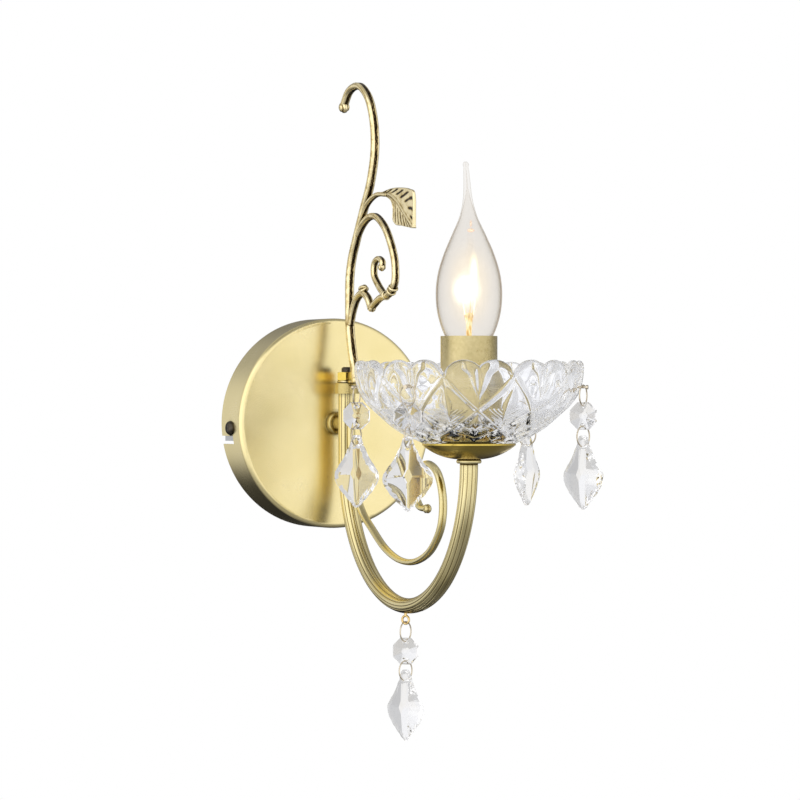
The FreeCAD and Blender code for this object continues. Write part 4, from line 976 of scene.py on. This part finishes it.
def crystal_drop(name, azimuth):
    """Leaf-shaped drop: four broad facets round a lozenge on each face, inside a row of small edge facets."""
    centre = middle_of(name + "_pendant")
    centre.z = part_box(name + "_pendant")[1].z / MM
    rim = [(-w, -h) for w, h in DROP_SIDE] + [(w, -h) for w, h in reversed(DROP_SIDE)]
    count = len(rim)
    inner = []
    for i, (w, h) in enumerate(rim):
        reach = math.hypot(w, h - DROP_PEAK)
        keep = 1 - (2.0 if i % 2 else 2.4) / reach
        w, h = w * keep, DROP_PEAK + (h - DROP_PEAK) * keep
        fall = abs(w) * FALL_ACROSS + max((h - DROP_PEAK) * FALL_UP, (DROP_PEAK - h) * FALL_DOWN)
        inner.append((w, h, DROP_DEEP - fall))
    points, faces = [], []
    for side in (-1, 1):
        points += [(w, h, side * DROP_EDGE) for w, h in rim]
        points += [(w, h, side * d) for w, h, d in inner]
        points.append((0.0, DROP_PEAK, side * DROP_DEEP))
    whole = 2 * count + 1
    for start in (0, whole):
        for i in range(count):
            a, b = start + i, start + (i + 1) % count
            faces += [(a, b, count + b), (a, count + b, count + a), (count + a, count + b, start + 2 * count)]
    faces += [(i, (i + 1) % count, whole + (i + 1) % count, whole + i) for i in range(count)]
    mesh = cut_stone(name + "_cut_drop", points, faces, [((0, 0, DROP_TABLE), (0, 0))], centre, azimuth)
    holes = [hole_cutter(centre - UP * 6.2, azimuth, 4.3)]
    drilled_stone(name + "_cut_drop", mesh, holes, name + "_drop", name + "_pendant")


RING_RADIUS, RING_WIRE = 5.425, 0.375


def wire_ring(name, which, azimuth, body):
    """Round wire ring, its two ends meeting in a fine seam."""
    node = name + "_" + which
    centre = middle_of(node)
    across, face = directions(azimuth)
    points = []
    for k, (cos, sin) in enumerate(circle(72)):
        out = face * cos + UP * sin
        wire = RING_WIRE * (0.86 if k == 24 else 1.0)
        points += [centre + out * (RING_RADIUS + wire * bulge) + across * (wire * rise)
                   for bulge, rise in circle(12)]
    mesh_piece(node + "_wire", points, ring_faces(72, 12, True), materials["ring_wire"],
               body, "ring_wire", node)


# ---- lamp ----
# The bulb's side: (radius, height).
BULB_SIDE = [(5.8, 0.0), (5.9, 3.0), (8.0, 7.0), (12.7, 15.0), (16.2, 25.0), (17.5, 35.5), (16.6, 47.0),
             (13.4, 58.0), (8.7, 69.0), (4.7, 78.0), (3.1, 84.0), (2.2, 90.0), (1.75, 97.0), (1.4, 103.0),
             (1.25, 104.2)]


def blown_bulb():
    """Tailed candle bulb: thin wall, drawn tip that leans, and a small bead at its end."""
    low, high = [corner.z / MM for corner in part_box("bulb_glass")]
    full, rise = zip(*BULB_SIDE)
    outer = [(float(smooth_curve(rise, full, z)), low + z) for z in np.linspace(0, rise[-1], 90)]
    bead = high - 1.6
    outer += [(1.6 * math.sin(a), bead - 1.6 * math.cos(a)) for a in np.linspace(0.9, math.pi - 0.01, 14)]
    inner = []
    for z in np.linspace(93.0, 0.0, 80):
        wall = 0.5 + max(0.0, (z - 82.0) / 11.0)
        inner.append((max(0.02, float(smooth_curve(rise, full, z)) - wall), low + z))
    points = []
    for radius, z in outer + inner:
        lean = 1.9 * max(0.0, ((z - low) / 105.6 - 0.55) / 0.45) ** 2
        points += [(radius * cos - lean, CANDLE_Y + radius * sin, z) for cos, sin in circle(72)]
    mesh_piece("blown_bulb", points, ring_faces(len(outer + inner), 72, True), materials["lamp_glass"],
               "bulb", "lamp_glass", "bulb_glass")


def lamp_mount():
    """Flared glass mount pinched flat at its top, with three bent wires up to the filament."""
    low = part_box("bulb_stem")[0].z / MM
    points = []
    profile = [(0.01, 0.0), (4.4, 0.0), (3.4, 2.0), (2.3, 6.0), (1.7, 11.0), (1.35, 16.0), (1.25, 21.0),
               (1.6, 24.0), (1.9, 26.0), (1.5, 27.2), (0.01, 27.5)]
    for r, z in profile:
        flat = 1.0 - 0.6 * min(1.0, max(0.0, (z - 12.0) / 10.0))
        wide = 0.9 * (2 - flat)
        points += [(r * cos * wide, CANDLE_Y + r * sin * flat, low + z) for cos, sin in circle(40)]
    faces = tube_faces(len(profile), 40)
    for foot, knee, top in ((-1.2, -3.2, -2.6), (0.2, 0.9, 0.4), (1.3, 3.4, 3.0)):
        faces += tube_faces(20, 8, len(points))
        points += [(x + 0.3 * cos, CANDLE_Y + 0.3 * sin, low + z)
                   for x, z in along([(foot, 24.0), (knee, 33.0), (top, 44.0)], 20) for cos, sin in circle(8)]
    mesh_piece("lamp_mount", points, faces, materials["lit_glass"], "bulb", "lamp_glass", "bulb_stem")


def glow_material(name, centre, reach, color, strength, thin, full):
    """Light round the hot filament: denser and whiter near the centre, in millimetres."""
    material, tree = bare_material(name)
    settings = {"Location": [c * MM for c in centre], "Scale": [r * MM for r in reach],
                "Vector": shader_node(tree, "TexCoord").outputs["Object"]}
    place = shader_node(tree, "Mapping", settings, vector_type="TEXTURE").outputs[0]
    away = shader_node(tree, "VectorMath", {0: place}, operation="LENGTH").outputs["Value"]
    tint = colour_ramp(away, [(0.15, (1.0, 0.97, 0.90)), (0.9, color)])
    light = shader_node(tree, "Emission", {"Color": tint, "Strength": strength})
    show_mix(tree, soft_step(away, 0.15, 1.0, full, thin), shader_node(tree, "BsdfTransparent"), light)
    return material


def glow(name, centre, reach, shells, *look):
    """Nested shells of light, one inside the other."""
    points, faces = [], []
    rows = 17
    for k in range(shells):
        faces += tube_faces(rows, 32, len(points))
        size = (k + 1) / shells
        for i in range(rows):
            polar = math.pi * (i + 0.02) / (rows - 1 + 0.04)
            points += [(centre[0] + size * reach[0] * math.sin(polar) * cos,
                        centre[1] + size * reach[1] * math.sin(polar) * sin,
                        centre[2] + size * reach[2] * math.cos(polar)) for cos, sin in circle(32)]
    piece = mesh_piece(name, points, faces, glow_material(name, centre, reach, *look), "bulb", "filament")
    piece.visible_glossy = piece.visible_diffuse = False


def lamp_glow():
    """Each glow's centre, reach and number of shells, then its colour, strength, and thin and full share."""
    glow("lamp_halo", (0, CANDLE_Y, 73), (15.0, 15.0, 28), 12, (1.0, 0.84, 0.58), 1.2, 0.01, 0.20)
    glow("lamp_core", (-1.2, CANDLE_Y + 0.6, 71.5), (8.8, 8.8, 10.5), 8, (1.0, 0.93, 0.74), 3.2, 0.02, 0.5)
    glow("lamp_streak", (2.2, CANDLE_Y - 1.1, 80.0), (3.0, 3.0, 12), 6, (1.0, 0.88, 0.55), 2.6, 0.04, 0.55)
    glow("lamp_haze", (0.6, CANDLE_Y - 0.3, 91.0), (3.2, 3.2, 13), 5, (1.0, 0.80, 0.56), 1.0, 0.01, 0.10)
    glow("lamp_spark", (0.9, CANDLE_Y - 0.4, 102.8), (2.1, 2.1, 1.1), 4, (1.0, 0.52, 0.20), 1.5, 0.10, 0.6)
    glow("lamp_glint", (0.9, CANDLE_Y - 0.4, 106.3), (0.7, 0.7, 2.2), 3, (1.0, 0.58, 0.26), 1.3, 0.10, 0.5)


make_camera()
make_world()
make_floor()
for name, lamp in LAMPS.items():
    soft_light(name, *lamp)
materials = make_materials()

# ---- CAD nodes that keep their shape ----
# The drip pan and top nut take the pan's painted-light copy of the gold.
OWN_LOOKS = {"drip_pan": "pan_gold_lit_copy", "top_nut": "pan_gold_lit_copy", "candle_sleeve": "sleeve_gold",
             "neck_ring": "satin_gold"}
for entry in frame["record"]["subparts"]:
    node = entry["node"]
    nodes[node].data.materials.clear()
    nodes[node].data.materials.append(materials[OWN_LOOKS.get(node, entry["material_slot"])])

cut_bowl()
cast_scroll()
reeded_arm()
plain_volute()
for name, (upper, bead, lower, drop) in FACES.items():
    wire_ring(name, "upper_ring", upper, name + "_link")
    crystal_bead(name, bead)
    wire_ring(name, "lower_ring", lower, name + "_drop")
    crystal_drop(name, drop)
blown_bulb()
lamp_mount()
lamp_glow()
